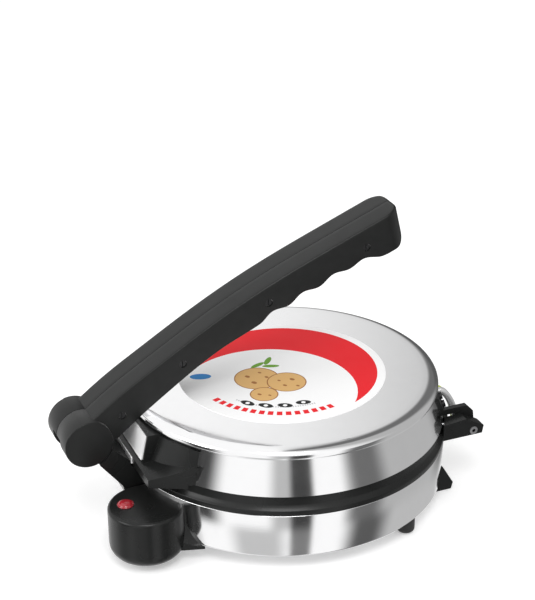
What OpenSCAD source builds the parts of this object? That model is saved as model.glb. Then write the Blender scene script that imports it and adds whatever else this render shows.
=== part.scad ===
/* [Drum] */
// Radius of the lid at its lower edge, which sets the size of the drum
lid_r = 113.5; // [100:0.1:128]
// How far the base stands out from the lid's lower edge
base_out = 1.3; // [0.5:0.1:2.5]
// How much the base shell narrows towards the floor
base_taper = 1.2; // [0:0.1:4]
// Height of the base shell's lower edge above the floor
base_z = 11; // [8:0.5:20]
// Height of the base shell wall
base_h = 32.4; // [25:0.1:45]
// Height of the black ring between base and lid
ring_h = 13; // [9:0.1:20]
// Depth of the step in the ring's outer face
ring_step = 3; // [1:0.1:5]
// Sheet thickness of the steel shells
sheet_t = 0.8; // [0.5:0.1:1.4]
// Corner radius of the base shell's lower edge
base_corner_r = 1.6; // [1.5:0.1:5]

/* [Lid] */
// How much the lid wall narrows up to the rim
lid_draw = 9.2; // [6:0.1:12]
// Height of the lid wall up to the rim
lid_wall_h = 24.6; // [18:0.1:34]
// Radius of the rolled edge of the lid
rim_roll_r = 2.7; // [2:0.1:4]
// How far the rim stands out from the lid wall
rim_out = 5.2; // [3.5:0.1:8]
// Height of the lid top above the lower side of the rim
rim_h = 7.6; // [6.5:0.1:12]
// Gap between the ring and the lid's lower edge
lid_gap = 0.6; // [0.4:0.1:1.5]
// Radius of the round label on the lid
label_r = 72.8; // [40:0.1:90]
// Thickness of the round label
label_t = 0.3; // [0.2:0.1:1]

/* [Cooking plates] */
// Distance from the lid's lower edge in to the edge of the cooking plates
plate_margin = 8.5; // [7.5:0.5:14]
// Thickness of both cooking plates
plate_t = 8; // [6:0.5:11]
// Gap between the closed plates
plate_gap = 1.2; // [0.8:0.1:3]
// Radius of the ring-shaped heating elements
element_r = 68; // [45:1:80]
// Radius of the element tube
element_tube_r = 3.3; // [2.5:0.1:4.5]
// Thickness of the insulating discs
insulator_t = 1.2; // [0.8:0.1:2]
// Thickness of the steel clamp plates
clamp_t = 1.2; // [0.8:0.1:2]

/* [Handle] */
// Length of the handle along its upper face, from the hub
handle_len = 255; // [201:3:288]
// Width of the handle
handle_w = 34; // [28:0.5:42]
// Depth of the grip between two finger hollows
grip_depth = 22.3; // [19:0.1:26]
// Depth of the handle's arm at its thinnest place
arm_depth = 20.4; // [19:0.1:25]
// Extra depth of the handle where it meets the hub
neck_depth = 4; // [0:0.1:6]
// Extra depth of the knob at the handle's end
knob_depth = 5; // [2:0.1:8]
// Slope of the handle where it leaves the hub
neck_angle = 37.3; // [32:0.1:42]
// Slope of the handle's arm
arm_angle = 30.9; // [27:0.1:33]
// Slope of the handle's grip
grip_angle = 21.8; // [18:0.1:26]
// Number of finger hollows under the grip
finger_count = 4; // [3:1:5]
// Distance between two finger hollows
finger_pitch = 25; // [22:0.1:27]
// Depth of a finger hollow
finger_depth = 3; // [1:0.1:4]
// Corner radius of the handle's end seen from above
tip_plan_r = 13; // [8:0.5:13.5]
// Radius of the upper corner at the handle's end
tip_side_r = 5; // [3:0.5:8]
// Radius of the lower corner at the handle's end
knob_r = 9; // [4:0.5:12]
// Gap between the two handle halves
seam_gap = 0.2; // [0.1:0.1:0.6]
// Radius of the hub at the foot of the handle
hub_r = 16.8; // [15:0.1:18]
// Width of the hub
hub_w = 42; // [38:0.5:50]
// How far the hub's axis lies in front of the lid's edge
hub_reach = 34; // [32:0.5:40]
// Height of the hub's axis above the lid's lower edge
hub_rise = 18; // [17:0.5:21]

/* [Pivots] */
// Radius of the handle's pivot pin
pivot_r = 3.5; // [2.5:0.1:4.5]
// Radius of the tubular hinge pins
hinge_pin_r = 2.5; // [2:0.1:3.8]
// Radius of the bore through a hinge pin
hinge_pin_bore_r = 1.3; // [0.8:0.1:1.8]
// Radial clearance of a turning pin
pin_fit = 0.05; // [0.02:0.01:0.1]
// How far the hinge axis lies behind the lid's edge
hinge_reach = 6.9; // [6:0.1:10]
// How far the hinge axis lies below the lid's lower edge
hinge_drop = 9.9; // [8.5:0.1:11]
// Gap between parts that move past each other
play = 0.5; // [0.3:0.1:0.8]

/* [Hinge brackets] */
// Distance from the centre to the outer face of a hinge ear
ear_x = 62; // [56:0.5:70]
// Thickness of a hinge ear
ear_t = 10; // [7:0.5:12]
// Length of a lid hinge knuckle
arm_t = 10.5; // [7:0.5:12]
// Thickness of a lid hinge arm
web_t = 4; // [2.5:0.1:5]
// Radius of the lid hinge knuckle
knuckle_r = 6; // [5.5:0.1:7]
// Length of the flange beside each hinge ear or arm
flange_len = 20; // [18:0.5:22]
// Thickness of the bracket flanges
flange_t = 2.2; // [1.6:0.1:3.5]

/* [Front bracket] */
// Width of the front bracket's shelf at its front edge
shelf_w = 108; // [90:1:118]
// Width of the front bracket where it meets the lid
collar_w = 137; // [120:1:150]
// How far the shelf reaches in front of the lid's edge
shelf_reach = 5; // [4:0.1:7]
// Height of the shelf's front edge
shelf_edge_h = 6; // [4:0.1:8]
// Thickness of the collar that hugs the lid
collar_t = 3; // [2:0.1:4]
// Width of the front plate
plate_w = 66; // [50:1:80]
// Height of the front plate
name_plate_h = 18; // [12:0.5:18]
// Thickness of the front plate
name_plate_t = 0.8; // [0.5:0.1:1.5]
// Lean of the front plate
plate_lean = 12; // [5:1:16]
// Thickness of the tongue that carries the handle
tongue_t = 9; // [7:0.5:10]
// Width of the tongue that carries the handle
tongue_w = 15; // [12:0.5:17]
// Radius of the eye at the tongue's end
eye_r = 10.5; // [8:0.1:11]
// Width of the steel strip under the front plate
strip_w = 43; // [36:1:66]

/* [Front housing] */
// Radius of the round end of the housing
housing_r = 25.6; // [24:0.1:30]
// Sideways place of the housing's round end
housing_x = 51; // [47:0.5:54]
// How far the housing's centre lies in front of the base shell
housing_reach = 18.4; // [17.5:0.1:25]
// Height of the housing's lower edge above the floor
housing_z = 3.5; // [3:0.5:8]
// Height of the housing
housing_h = 36.5; // [30:0.5:38]
// Radius of the housing's lower edge
housing_low_round = 10; // [6:0.5:10]
// Radius of the housing's upper edge
housing_round = 2.5; // [1:0.1:4]
// Wall thickness of the housing
housing_wall = 2.5; // [2:0.1:3.5]
// Radius of the indicator lamp's lens
lens_r = 5.6; // [4.5:0.1:8]
// Radius of the bore in the cord gland
gland_bore_r = 3.6; // [2.9:0.1:4.5]
// Outer radius of the cord gland's collar
gland_r = 8; // [6.8:0.1:9]

/* [Feet] */
// Radius of a rubber foot
foot_r = 6.4; // [5:0.1:8]
// How far the middle of a rubber foot lies inside the base shell's edge
foot_inset = 7; // [6.5:0.5:18]
// Width of a rear stand
stand_w = 10; // [7:0.5:14]
// How far a rear stand reaches behind the drum
stand_reach = 10.5; // [8:0.5:16]
// Height of a rear stand
stand_h = 20; // [15:0.5:26]

/* [Leads] */
// Radius of the silver conduit between base and lid
conduit_r = 3; // [2:0.1:3.1]
// Sideways place of the conduit
conduit_x = 30; // [27:0.5:33]
// Radius of the earth wire
earth_r = 1.3; // [0.8:0.1:1.4]
// Sideways gap between the conduit and the earth wire
earth_gap = 0.7; // [0.5:0.1:1]
// Radius of the sleeved leads inside
lead_r = 1.5; // [1:0.1:1.8]

/* [Screws] */
// Radius of a screw's shank
screw_r = 1.5; // [1:0.1:2]
// Radius of a screw's head
screw_head_r = 2.6; // [2:0.1:3]
// Height of a screw's head
screw_head_h = 1.6; // [1:0.1:2]

/* [Hidden] */
$fn = 96;

black = [0.17, 0.17, 0.17];
steel = [0.86, 0.86, 0.87];
dark_plate = [0.25, 0.25, 0.26];
pressed_steel = [0.6, 0.6, 0.62];
burnt_steel = [0.45, 0.4, 0.38];
mica = [0.85, 0.8, 0.7];

// Small allowances that several pieces share
cut = 1;
joint_lap = 0.2;
screw_room = 0.2;
screw_slot = 0.7;

// Heights, from the floor up
ring_z = base_z + base_h;
ring_top_z = ring_z + ring_h;
lid_z = ring_top_z + lid_gap;
neck_z = lid_z + lid_wall_h;
lid_top_z = neck_z + rim_h;
lower_plate_top = lid_z - plate_gap / 4;
lower_plate_z = lower_plate_top - plate_t;
upper_plate_z = lower_plate_top + plate_gap;
upper_back_z = upper_plate_z + plate_t;

// Radii of the drum
base_top_r = lid_r + base_out;
base_bottom_r = base_top_r - base_taper;
lid_neck_r = lid_r - lid_draw;
rim_r = lid_neck_r + rim_out;
plate_r = lid_r - plate_margin;

// Lean of the two walls, and their outward directions as [y, z]
wall_lean = atan(lid_draw / lid_wall_h);
base_lean = -atan(base_taper / (base_h - base_corner_r));
lid_out = [cos(wall_lean), sin(wall_lean)];
base_side = [cos(base_lean), sin(base_lean)];

// Axes of the rear hinge and of the handle's hub, as [y, z]
hinge = [lid_r + hinge_reach, lid_z - hinge_drop];
hub = [-(lid_r + hub_reach), lid_z + hub_rise];

// Points of an arc in degrees about a centre
function arc(c, r, a0, a1, n = 6) =
    [for (i = [0:n]) let (a = a0 + (a1 - a0) * i / n) c + r * [cos(a), sin(a)]];

// Smooth change from 0 to 1 between a and b
function ease(s, a, b) = let (t = min(max((s - a) / (b - a), 0), 1)) t * t * (3 - 2 * t);

// Radius of the outside of the base shell's wall and of the lid wall at a height
function base_wall_r(z) =
    base_bottom_r + base_taper * (z - base_z - base_corner_r) / (base_h - base_corner_r);
function lid_wall_r(z) = lid_r - lid_draw * (z - lid_z) / lid_wall_h;

// Distance from the centre plane to a circle of radius r at sideways place x
function chord(r, x) = sqrt(max(r * r - x * x, 1));

// An outline drawn as [y, z], carried from x0 to x1
module slab(x0, x1) {
    translate([x0, 0, 0]) rotate([90, 0, 90]) linear_extrude(x1 - x0) children();
}

// A round bar along X at [y, z]
module bar_x(c, r, x0, x1) {
    translate([x0, c[0], c[1]]) rotate([0, 90, 0]) cylinder(r = r, h = x1 - x0);
}

// A screw that points along -Z from its head's underside at the origin, and its hole
module screw(len) {
    difference() {
        cylinder(r = screw_head_r, h = screw_head_h);
        translate([-screw_head_r, -screw_slot / 2, screw_head_h - screw_slot])
            cube([2 * screw_head_r, screw_slot, screw_slot]);
    }
    translate([0, 0, -len]) cylinder(r = screw_r, h = len + joint_lap);
}
module screw_hole(len, over = cut) {
    translate([0, 0, -len]) cylinder(r = screw_r, h = len + over);
}

// The same thing on both sides of the centre plane
module both_sides() {
    children();
    mirror([1, 0, 0]) children();
}

// Everything inside the lid wall and under its rim
module lid_room() {
    rotate_extrude() polygon([
        [0, lid_z - lid_wall_h], [lid_r, lid_z - lid_wall_h], [lid_r, lid_z],
        [lid_neck_r, neck_z], [rim_r, neck_z], [rim_r, lid_top_z], [0, lid_top_z]
    ]);
}

// Everything inside the base shell and ring, grown by a gap
module base_room(gap) {
    rotate_extrude() polygon([
        [0, base_z - gap], [base_bottom_r + gap, base_z - gap],
        [base_bottom_r + gap, base_z + base_corner_r],
        [base_top_r + gap, ring_z], [base_top_r + gap, ring_top_z], [0, ring_top_z]
    ]);
}

// The base: shell, ring and floor
flange_in = 9;
cover_t = 1.2;
cover_lap = 6;
vent_count = 16;
vent_r = 2.5;
vent_circle_r = 70;
ring_lip_h = 4;
ring_lift = 2;
plate_clear = 0.5;
stud_r = 2.5;
stud_head_r = 5;
stud_head_h = 3;
base_screw_count = 4;
base_screw_len = 5;

module base_shell() color(steel) difference() {
    rotate_extrude() polygon(concat(
        [[base_bottom_r - flange_in, base_z]],
        arc([base_bottom_r - base_corner_r, base_z + base_corner_r], base_corner_r, -90, 0),
        [[base_top_r, ring_z], [base_top_r - ring_step, ring_z],
         [base_top_r - ring_step, ring_z - sheet_t], [base_top_r - sheet_t, ring_z - sheet_t]],
        arc([base_bottom_r - base_corner_r, base_z + base_corner_r], base_corner_r - sheet_t, 0, -90),
        [[base_bottom_r - flange_in, base_z + sheet_t]]
    ));
    lead_ports();
    base_screw_places() screw_hole(base_screw_len, base_screw_len);
    base_bushing_place() bushing_hole();
}

module base_ring() color(black) difference() {
    rotate_extrude() polygon([
        [plate_r + plate_clear, ring_z + ring_lift], [base_top_r - ring_step - sheet_t, ring_z + ring_lift],
        [base_top_r - ring_step - sheet_t, ring_z], [base_top_r, ring_z],
        [base_top_r, ring_z + ring_lip_h], [base_top_r - ring_step, ring_z + ring_lip_h + ring_step],
        [base_top_r - ring_step, ring_top_z], [plate_r + plate_clear, ring_top_z]
    ]);
    both_sides() hinge_base_screw_places() screw_hole(hinge_screw_len, 0);
    post_screw_places() screw_hole(post_screw_len, 0);
}

module bottom_cover() color([0.5, 0.5, 0.5]) difference() {
    translate([0, 0, base_z + sheet_t]) cylinder(r = base_bottom_r - flange_in + cover_lap, h = cover_t);
    for (i = [0:vent_count - 1]) rotate(i * 360 / vent_count)
        translate([vent_circle_r, 0, base_z]) cylinder(r = vent_r, h = base_h);
    base_screw_places() screw_hole(base_screw_len, base_screw_len);
    translate([0, 0, base_z]) cylinder(r = stud_r, h = base_h);
}

module base_screw_places() {
    for (i = [0:base_screw_count - 1]) rotate((i + 0.5) * 360 / base_screw_count)
        translate([base_bottom_r - flange_in + cover_lap / 2, 0, base_z]) rotate([180, 0, 0]) children();
}
module base_screws() color(steel) base_screw_places() screw(base_screw_len);

module base_stud() color(steel) {
    translate([0, 0, base_z - stud_head_h]) cylinder(r = stud_head_r, h = stud_head_h, $fn = 6);
    translate([0, 0, base_z - joint_lap])
        cylinder(r = stud_r, h = lower_plate_z + plate_t / 2 - base_z + joint_lap);
}

// The feet and the rear stands
foot_circle_r = base_bottom_r - foot_inset;
foot_angles = [29.5, 150.5, 250, 290];
foot_round = 3;
stand_gap = 4;
stand_x = ear_x - stand_gap - stand_w;
stand_tip_y = chord(base_bottom_r, stand_x + stand_w) + stand_reach;
stand_nose = 5;
stand_bevel = 1.4;
stand_top = 1.2;

module rubber_feet() color(black) for (a = foot_angles) rotate(a) translate([foot_circle_r, 0, 0])
    rotate_extrude() polygon(concat(
        [[0, 0]], arc([foot_r - foot_round, foot_round], foot_round, -90, 0), [[foot_r, base_z], [0, base_z]]
    ));

module rear_stands() color(black) both_sides() difference() {
    slab(stand_x, stand_x + stand_w) polygon([
        [chord(base_bottom_r, stand_x) - stand_h, 0], [stand_tip_y - stand_bevel, 0],
        [stand_tip_y, stand_nose],
        [chord(base_wall_r(stand_h), stand_x + stand_w) + stand_top, stand_h],
        [chord(base_wall_r(stand_h), stand_x + stand_w) - stand_top, stand_h],
        [chord(base_bottom_r, stand_x) - stand_h, stand_nose]
    ]);
    base_room(0);
}

// The heating parts of the base, hung under the lower plate
element_gap_angle = 40;
element_pin_angle = element_gap_angle / 2 + 3;
pin_len = 9;
disc_r = element_r - element_tube_r - cut;
thermostat_r = 8;
thermostat_h = 7;
thermostat_place = [32, 20];
blade = [3, 0.8, 6];
fuse_r = 2.2;
fuse_len = 14;
fuse_place = [-34, 22];
fuse_wire_r = 0.6;
fuse_wire_out = 5;
lower_insulator_z = lower_plate_z - insulator_t;
lower_clamp_z = lower_insulator_z - clamp_t;

module lower_plate() color(dark_plate) difference() {
    translate([0, 0, lower_plate_z]) {
        cylinder(r = plate_r, h = plate_t);
        cylinder(r = plate_r + plate_clear, h = plate_t / 4);
    }
    translate([0, 0, lower_plate_z]) element_groove();
    translate([0, 0, lower_plate_z - cut]) cylinder(r = stud_r, h = plate_t / 2 + cut);
}

// Room for the heating element in the back of a plate
module element_groove() {
    rotate_extrude() translate([element_r, 0]) {
        circle(r = element_tube_r);
        translate([-element_tube_r, -element_tube_r]) square([2 * element_tube_r, element_tube_r]);
    }
}

// A ring element with its two connection pins, opening at angle 0, pins towards dir
module element(dir) {
    rotate(element_gap_angle / 2) rotate_extrude(angle = 360 - element_gap_angle)
        translate([element_r, 0]) circle(r = element_tube_r);
    for (s = [-1, 1]) rotate(s * element_pin_angle) translate([element_r, 0, 0])
        rotate([dir > 0 ? 0 : 180, 0, 0]) cylinder(r = element_tube_r / 2, h = element_tube_r + pin_len);
}

// A disc from height z up, with a hole for the stud
module stud_disc(z, t) difference() {
    translate([0, 0, z]) cylinder(r = disc_r, h = t);
    translate([0, 0, z - cut]) cylinder(r = stud_r, h = t + 2 * cut);
}

module lower_element() color(burnt_steel) translate([0, 0, lower_plate_z]) rotate(-90) element(-1);
module lower_insulator() color(mica) stud_disc(lower_insulator_z, insulator_t);
module lower_clamp_plate() color(pressed_steel) stud_disc(lower_clamp_z, clamp_t);

module thermostat() color([0.3, 0.25, 0.2]) translate([thermostat_place[0], thermostat_place[1], 0]) {
    translate([0, 0, lower_clamp_z - thermostat_h]) cylinder(r = thermostat_r, h = thermostat_h);
    for (s = [-1, 1]) translate([s * thermostat_r / 2 - blade[0] / 2, -blade[1] / 2,
        lower_clamp_z - thermostat_h - blade[2]]) cube(blade + [0, 0, joint_lap]);
}

module thermal_fuse() color([0.8, 0.75, 0.6])
    translate([fuse_place[0], fuse_place[1], lower_clamp_z - fuse_r]) rotate([0, 90, 0]) {
        cylinder(r = fuse_r, h = fuse_len);
        translate([0, 0, -fuse_wire_out]) cylinder(r = fuse_wire_r, h = fuse_len + 2 * fuse_wire_out);
    }

// The front housing with the indicator lamp and the cord's way in
housing_y = -(chord(base_bottom_r, housing_x) + housing_reach);
housing_top = housing_z + housing_h;
neck_side = 11;
neck_w = housing_r + neck_side;
cover_in = 2;
cover_inset = housing_low_round + 1;
lens_place = [housing_x - 5, housing_y - 12.5];
lens_collar = 1.6;
lens_h = 2.2;
lens_edge = 1;
lens_stem = housing_wall + 3;
lamp_r = 3;
lamp_h = 10;
lamp_leg_r = 0.5;
lamp_leg_h = 6;
gland_len = 10;
gland_place = [housing_x - housing_r, housing_y];
gland_z = housing_z + 14;
gland_step = 2;
gland_in = housing_wall + 2;
block_size = [20, 10, 11];
block_shift = [0.6, -4.2];
block_ways = 3;
block_bore_r = 2;
block_z = housing_z + cover_in;
block_place = [housing_x - block_size[0] / 2, housing_y - block_size[1] / 2] + block_shift;

// Two sleeved leads that run from the housing to under the thermostat and turn up there
lead_z = base_z + 10;
lead_x = housing_x - 6;
lead_gap = 8;
lead_end = housing_y + 4;

module lead_places() {
    for (i = [0:1]) translate([lead_x + i * lead_gap, 0, lead_z]) children();
}
module lead_ports() lead_places() rotate([90, 0, 0]) cylinder(r = lead_r + play, h = -housing_y);
module base_leads() color([0.8, 0.3, 0.2]) lead_places() {
    translate([0, thermostat_place[1], 0]) rotate([90, 0, 0])
        cylinder(r = lead_r, h = thermostat_place[1] - lead_end);
    translate([0, thermostat_place[1] - lead_r, 0])
        cylinder(r = lead_r, h = lower_clamp_z - lead_z - cut);
}

// Outline of the housing's room seen from above, shrunk by a wall
module housing_plan(wall) difference() {
    union() {
        translate([housing_x, housing_y]) circle(r = housing_r - wall);
        translate([housing_x - housing_r + wall, housing_y]) square([neck_w - 2 * wall, 3 * housing_r]);
    }
    circle(r = base_top_r + wall);
}

// Upright outline with a large round below and a small one above, from x0 to x1
module housing_section(x0, x1) polygon(concat(
    arc([x0 + housing_low_round, housing_z + housing_low_round], housing_low_round, 180, 270),
    arc([x1 - housing_low_round, housing_z + housing_low_round], housing_low_round, 270, 360),
    arc([x1 - housing_round, housing_top - housing_round], housing_round, 0, 90),
    arc([x0 + housing_round, housing_top - housing_round], housing_round, 90, 180)
));

module front_housing() color(black) difference() {
    union() {
        translate([housing_x, housing_y, 0]) rotate_extrude() intersection() {
            housing_section(-housing_r, housing_r);
            square([housing_r, housing_top]);
        }
        translate([0, housing_y + 2 * housing_r, 0]) rotate([90, 0, 0]) linear_extrude(2 * housing_r)
            housing_section(housing_x - housing_r, housing_x - housing_r + neck_w);
        housing_fin();
    }
    base_room(0);
    cylinder(r = base_bottom_r, h = base_z);
    translate([0, 0, housing_z + housing_low_round])
        linear_extrude(housing_h - housing_low_round - housing_wall) housing_plan(housing_wall);
    translate([0, 0, housing_z - cut]) linear_extrude(housing_low_round + 2 * cut) housing_plan(cover_inset);
    lead_ports();
    translate([lens_place[0], lens_place[1], housing_z + housing_h / 2])
        cylinder(r = lens_r - lens_collar, h = housing_h);
    translate([gland_place[0] - gland_len, gland_place[1], gland_z]) rotate([0, 90, 0])
        cylinder(r = gland_r - gland_step, h = gland_len + gland_in);
}

// A thin fin that runs on from the housing along the foot of the drum, to a tip on the shell
fin_angle = -49.8;
fin_tip = (base_bottom_r + 0.4) * [cos(fin_angle), sin(fin_angle)];
fin_x = housing_x + 8;
fin_back = 11;
fin_front = [7, 14.8];
fin_low = 5;
fin_high = 30.5;
// Height of the fin's upper edge at a share of the way from the housing to the tip
function fin_edge(t) = base_z + (housing_z + fin_high - base_z) * pow(1 - t, 2.6);
module housing_fin() intersection() {
    linear_extrude(housing_top) polygon([
        [fin_x, fin_tip[1] - fin_back], fin_tip - fin_front, fin_tip, [fin_x, fin_tip[1] - cut]
    ]);
    rotate([90, 0, 0]) linear_extrude(2 * base_top_r) polygon(concat(
        [[fin_tip[0] + cut, base_z - cut], [fin_x, housing_z + fin_low / 2]],
        [for (t = [0:0.1:1]) [fin_x + (fin_tip[0] + cut - fin_x) * t, fin_edge(t) + cut / 2]]
    ));
}

module housing_cover() color(black) difference() {
    translate([0, 0, housing_z]) linear_extrude(cover_in) housing_plan(cover_inset);
    translate([housing_x, housing_y, housing_z - cut]) cylinder(r = screw_r, h = cover_in + 2 * cut);
}

module indicator_lens() color([0.75, 0.12, 0.15]) translate([lens_place[0], lens_place[1], housing_top]) {
    rotate_extrude() polygon(concat(
        [[0, 0], [lens_r, 0]], arc([lens_r - lens_edge, lens_h - lens_edge], lens_edge, 0, 90), [[0, lens_h]]
    ));
    translate([0, 0, -lens_stem]) cylinder(r = lens_r - lens_collar, h = lens_stem + joint_lap);
}

module indicator_lamp() color([0.95, 0.6, 0.4])
    translate([lens_place[0], lens_place[1], housing_top - lens_stem - lamp_h]) {
        cylinder(r = lamp_r, h = lamp_h);
        for (s = [-1, 1]) translate([s * lamp_r / 2, 0, -lamp_leg_h])
            cylinder(r = lamp_leg_r, h = lamp_leg_h + joint_lap);
    }

module terminal_block() color([0.92, 0.9, 0.84]) difference() {
    translate([block_place[0], block_place[1], block_z]) cube(block_size);
    for (i = [0:block_ways - 1]) translate([block_place[0], block_place[1], block_z]) translate([
        (i + 0.5) * block_size[0] / block_ways, block_size[1] / 2, block_size[2] / 3
    ]) cylinder(r = block_bore_r, h = block_size[2]);
}

module cord_gland() color(black) translate([gland_place[0], gland_place[1], gland_z]) rotate([0, 90, 0])
    difference() {
        union() {
            translate([0, 0, -gland_len]) cylinder(r1 = gland_r - gland_step, r2 = gland_r, h = gland_len);
            translate([0, 0, -joint_lap]) cylinder(r = gland_r - gland_step, h = gland_in);
        }
        translate([0, 0, -gland_len - cut]) cylinder(r = gland_bore_r, h = gland_len + gland_in + 2 * cut);
    }

// The post on the base, with the saddle that the hub comes down on
tongue_drop = 7.5;
tongue_dir = [-(lid_r + shelf_reach), lid_z - tongue_drop] - hub;
tongue_angle = atan2(tongue_dir[1], tongue_dir[0]);
saddle_r = hub_r + play;
saddle_from = 291;
saddle_to = 337;
saddle_edge = 1.2;
post_root = 5;
post_toe = [3, 4];
post_foot = [hub[0] + 21.5, lid_z - 18.3];
post_shoulder = lid_z - 4.4;
post_gap = 1;
post_nose = [-0.5, 4.5];
post_low = base_z + base_h / 2 - 2;
post_slot = tongue_w / 2 + play;
post_screw_side = 6;
post_screw_grip = 6;
post_screw_len = post_screw_grip + 4;
post_screw_z = ring_z + ring_lip_h - cut;
post_face = [-(lid_r + shelf_reach + post_gap), post_shoulder];

module front_post() color(black) difference() {
    slab(-hub_w / 2, hub_w / 2) difference() {
        polygon([
            [-base_top_r + post_root, post_low], [post_foot[0], post_low] + post_toe, post_foot,
            hub + (saddle_r + saddle_edge) * [cos(saddle_from), sin(saddle_from)], hub,
            hub + saddle_r * [cos(saddle_to), sin(saddle_to)],
            post_face + post_nose, post_face, [-base_top_r + post_root, post_shoulder]
        ]);
        translate(hub) circle(r = saddle_r);
    }
    base_room(0);
    slab(-post_slot, post_slot) translate(hub) rotate(tongue_angle)
        translate([0, -tongue_t / 2 - play]) square([2 * hub_reach, 2 * hub_reach]);
    post_screw_places() screw_hole(post_screw_len);
    post_screw_places() cylinder(r = screw_head_r + screw_room, h = 2 * hub_reach);
}

module post_screw_places() {
    for (s = [-1, 1])
        translate([s * (hub_w / 2 - post_screw_side), -base_top_r - post_screw_grip, post_screw_z])
            rotate([90, 0, 0]) children();
}
module post_screws() color(steel) post_screw_places() screw(post_screw_len);

// Rear hinge: ears on the base, arms on the lid, two tubular pins
ear_low = ring_z + 0.1;
ear_root = 6;
ear_heel = 7;
ear_nose = hinge + [8.2, 2.3];
ear_back = [-6, 0.9];
ear_top = ring_top_z - play;
ear_flange_h = ring_h - 3;
hinge_screw_len = 8;
hinge_screw_z = ring_z + 4.5;
hinge_screw_spread = 3.1;
hinge_screw_angle = asin((ear_x - ear_t - flange_len / 2) / base_top_r);
ring_touch = 0.02;

module hinge_ear() difference() {
    union() {
        slab(ear_x - ear_t, ear_x) polygon([
            [chord(base_top_r, ear_x) - ear_root, ear_low], [hinge[0] + ear_heel, ear_low], ear_nose,
            [hinge[0], ring_top_z] + ear_back, [chord(base_top_r, ear_x) + 2, ear_top],
            [chord(base_top_r, ear_x) - ear_root, ear_top]
        ]);
        intersection() {
            translate([0, 0, ear_low]) rotate_extrude() translate([base_top_r - cut, 0])
                square([flange_t + cut, ear_flange_h]);
            translate([ear_x - ear_t - flange_len, 0, 0]) cube([flange_len + ear_t, 2 * lid_r, 2 * lid_z]);
        }
    }
    base_room(ring_touch);
    bar_x(hinge, hinge_pin_r, ear_x - 2 * ear_t, ear_x + cut);
    hinge_base_screw_places() screw_hole(hinge_screw_len, hinge_screw_len);
    knuckle_room();
}

// Room for a lid hinge arm beside its ear
module knuckle_room() {
    bar_x(hinge, knuckle_r + play, ear_x - ear_t - play - arm_t - play, ear_x - ear_t);
}
module hinge_base_screw_places() {
    for (s = [-1, 1]) rotate(-hinge_screw_angle + s * hinge_screw_spread)
        translate([0, base_top_r + flange_t, hinge_screw_z]) rotate([-90, 0, 0]) children();
}
module hinge_base_right() color(black) hinge_ear();
module hinge_base_left() color(black) mirror([1, 0, 0]) hinge_ear();
module hinge_base_screws() color(steel) both_sides() hinge_base_screw_places() screw(hinge_screw_len);

pin_head_r = hinge_pin_r + 0.5;
pin_head_h = 0.6;
pin_inner_x = ear_x - ear_t - play - arm_t - 0.4;
module hinge_pins() color(steel) both_sides() difference() {
    union() {
        bar_x(hinge, hinge_pin_r, pin_inner_x, ear_x + joint_lap);
        bar_x(hinge, pin_head_r, ear_x, ear_x + pin_head_h);
    }
    bar_x(hinge, hinge_pin_bore_r, pin_inner_x - cut, ear_x + 2 * cut);
}

// The bushings that hold the conduit and the earth wire
bushing_r = 5.8;
bushing_lip_r = 7.2;
bushing_in = 3;
bushing_lip = 2;
bushing_z = ring_z - 12;
lid_bushing_z = lid_z + 8;
lead_fit = 0.25;
lead_wall = 1.15;
conduit_angle = asin(conduit_x / lid_r);
conduit_off = bushing_r - lead_fit - conduit_r - lead_wall;
earth_off = conduit_off - conduit_r - earth_gap - earth_r;
base_exit = [base_wall_r(bushing_z), bushing_z];
lid_exit = [lid_wall_r(lid_bushing_z), lid_bushing_z];

module base_bushing_place() rotate(-conduit_angle) translate([0, base_exit[0], base_exit[1]])
    rotate([base_lean - 90, 0, 0]) children();
module lid_bushing_place() rotate(-conduit_angle) translate([0, lid_exit[0], lid_exit[1]])
    rotate([wall_lean - 90, 0, 0]) children();
module bushing_hole() translate([0, 0, -2 * bushing_in]) cylinder(r = bushing_r, h = 4 * bushing_in);
module bushing() difference() {
    union() {
        translate([0, 0, -bushing_in]) cylinder(r = bushing_r, h = bushing_in + bushing_lip);
        cylinder(r1 = bushing_lip_r, r2 = bushing_lip_r - cut, h = bushing_lip);
    }
    translate([conduit_off, 0, -2 * bushing_in]) cylinder(r = conduit_r + lead_fit, h = 4 * bushing_in);
    translate([earth_off, 0, -2 * bushing_in]) cylinder(r = earth_r + lead_fit, h = 4 * bushing_in);
}
module base_bushing() color(black) base_bushing_place() bushing();
module lid_bushing() color(black) lid_bushing_place() bushing();

// The conduit and the earth wire, which leave both bushings straight and bow outwards between them
lead_straight = bushing_lip + 1;
base_bow = 20;
lid_bow = 9.5;
earth_bow = -2;
conduit_rings = 20;
tube_sides = 12;
function conduit_point(t, bow) = let (
    p0 = base_exit + lead_straight * base_side, p3 = lid_exit + lead_straight * lid_out,
    p1 = p0 + (base_bow + bow) * base_side, p2 = p3 + (lid_bow + bow) * lid_out)
    pow(1 - t, 3) * p0 + 3 * t * pow(1 - t, 2) * p1 + 3 * t * t * (1 - t) * p2 + pow(t, 3) * p3;
function conduit_path(bow) = concat(
    [base_exit - bushing_in * base_side, base_exit + bushing_lip * base_side],
    [for (i = [0:conduit_rings]) conduit_point(i / conduit_rings, bow)],
    [lid_exit + bushing_lip * lid_out, lid_exit - bushing_in * lid_out]);

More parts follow.
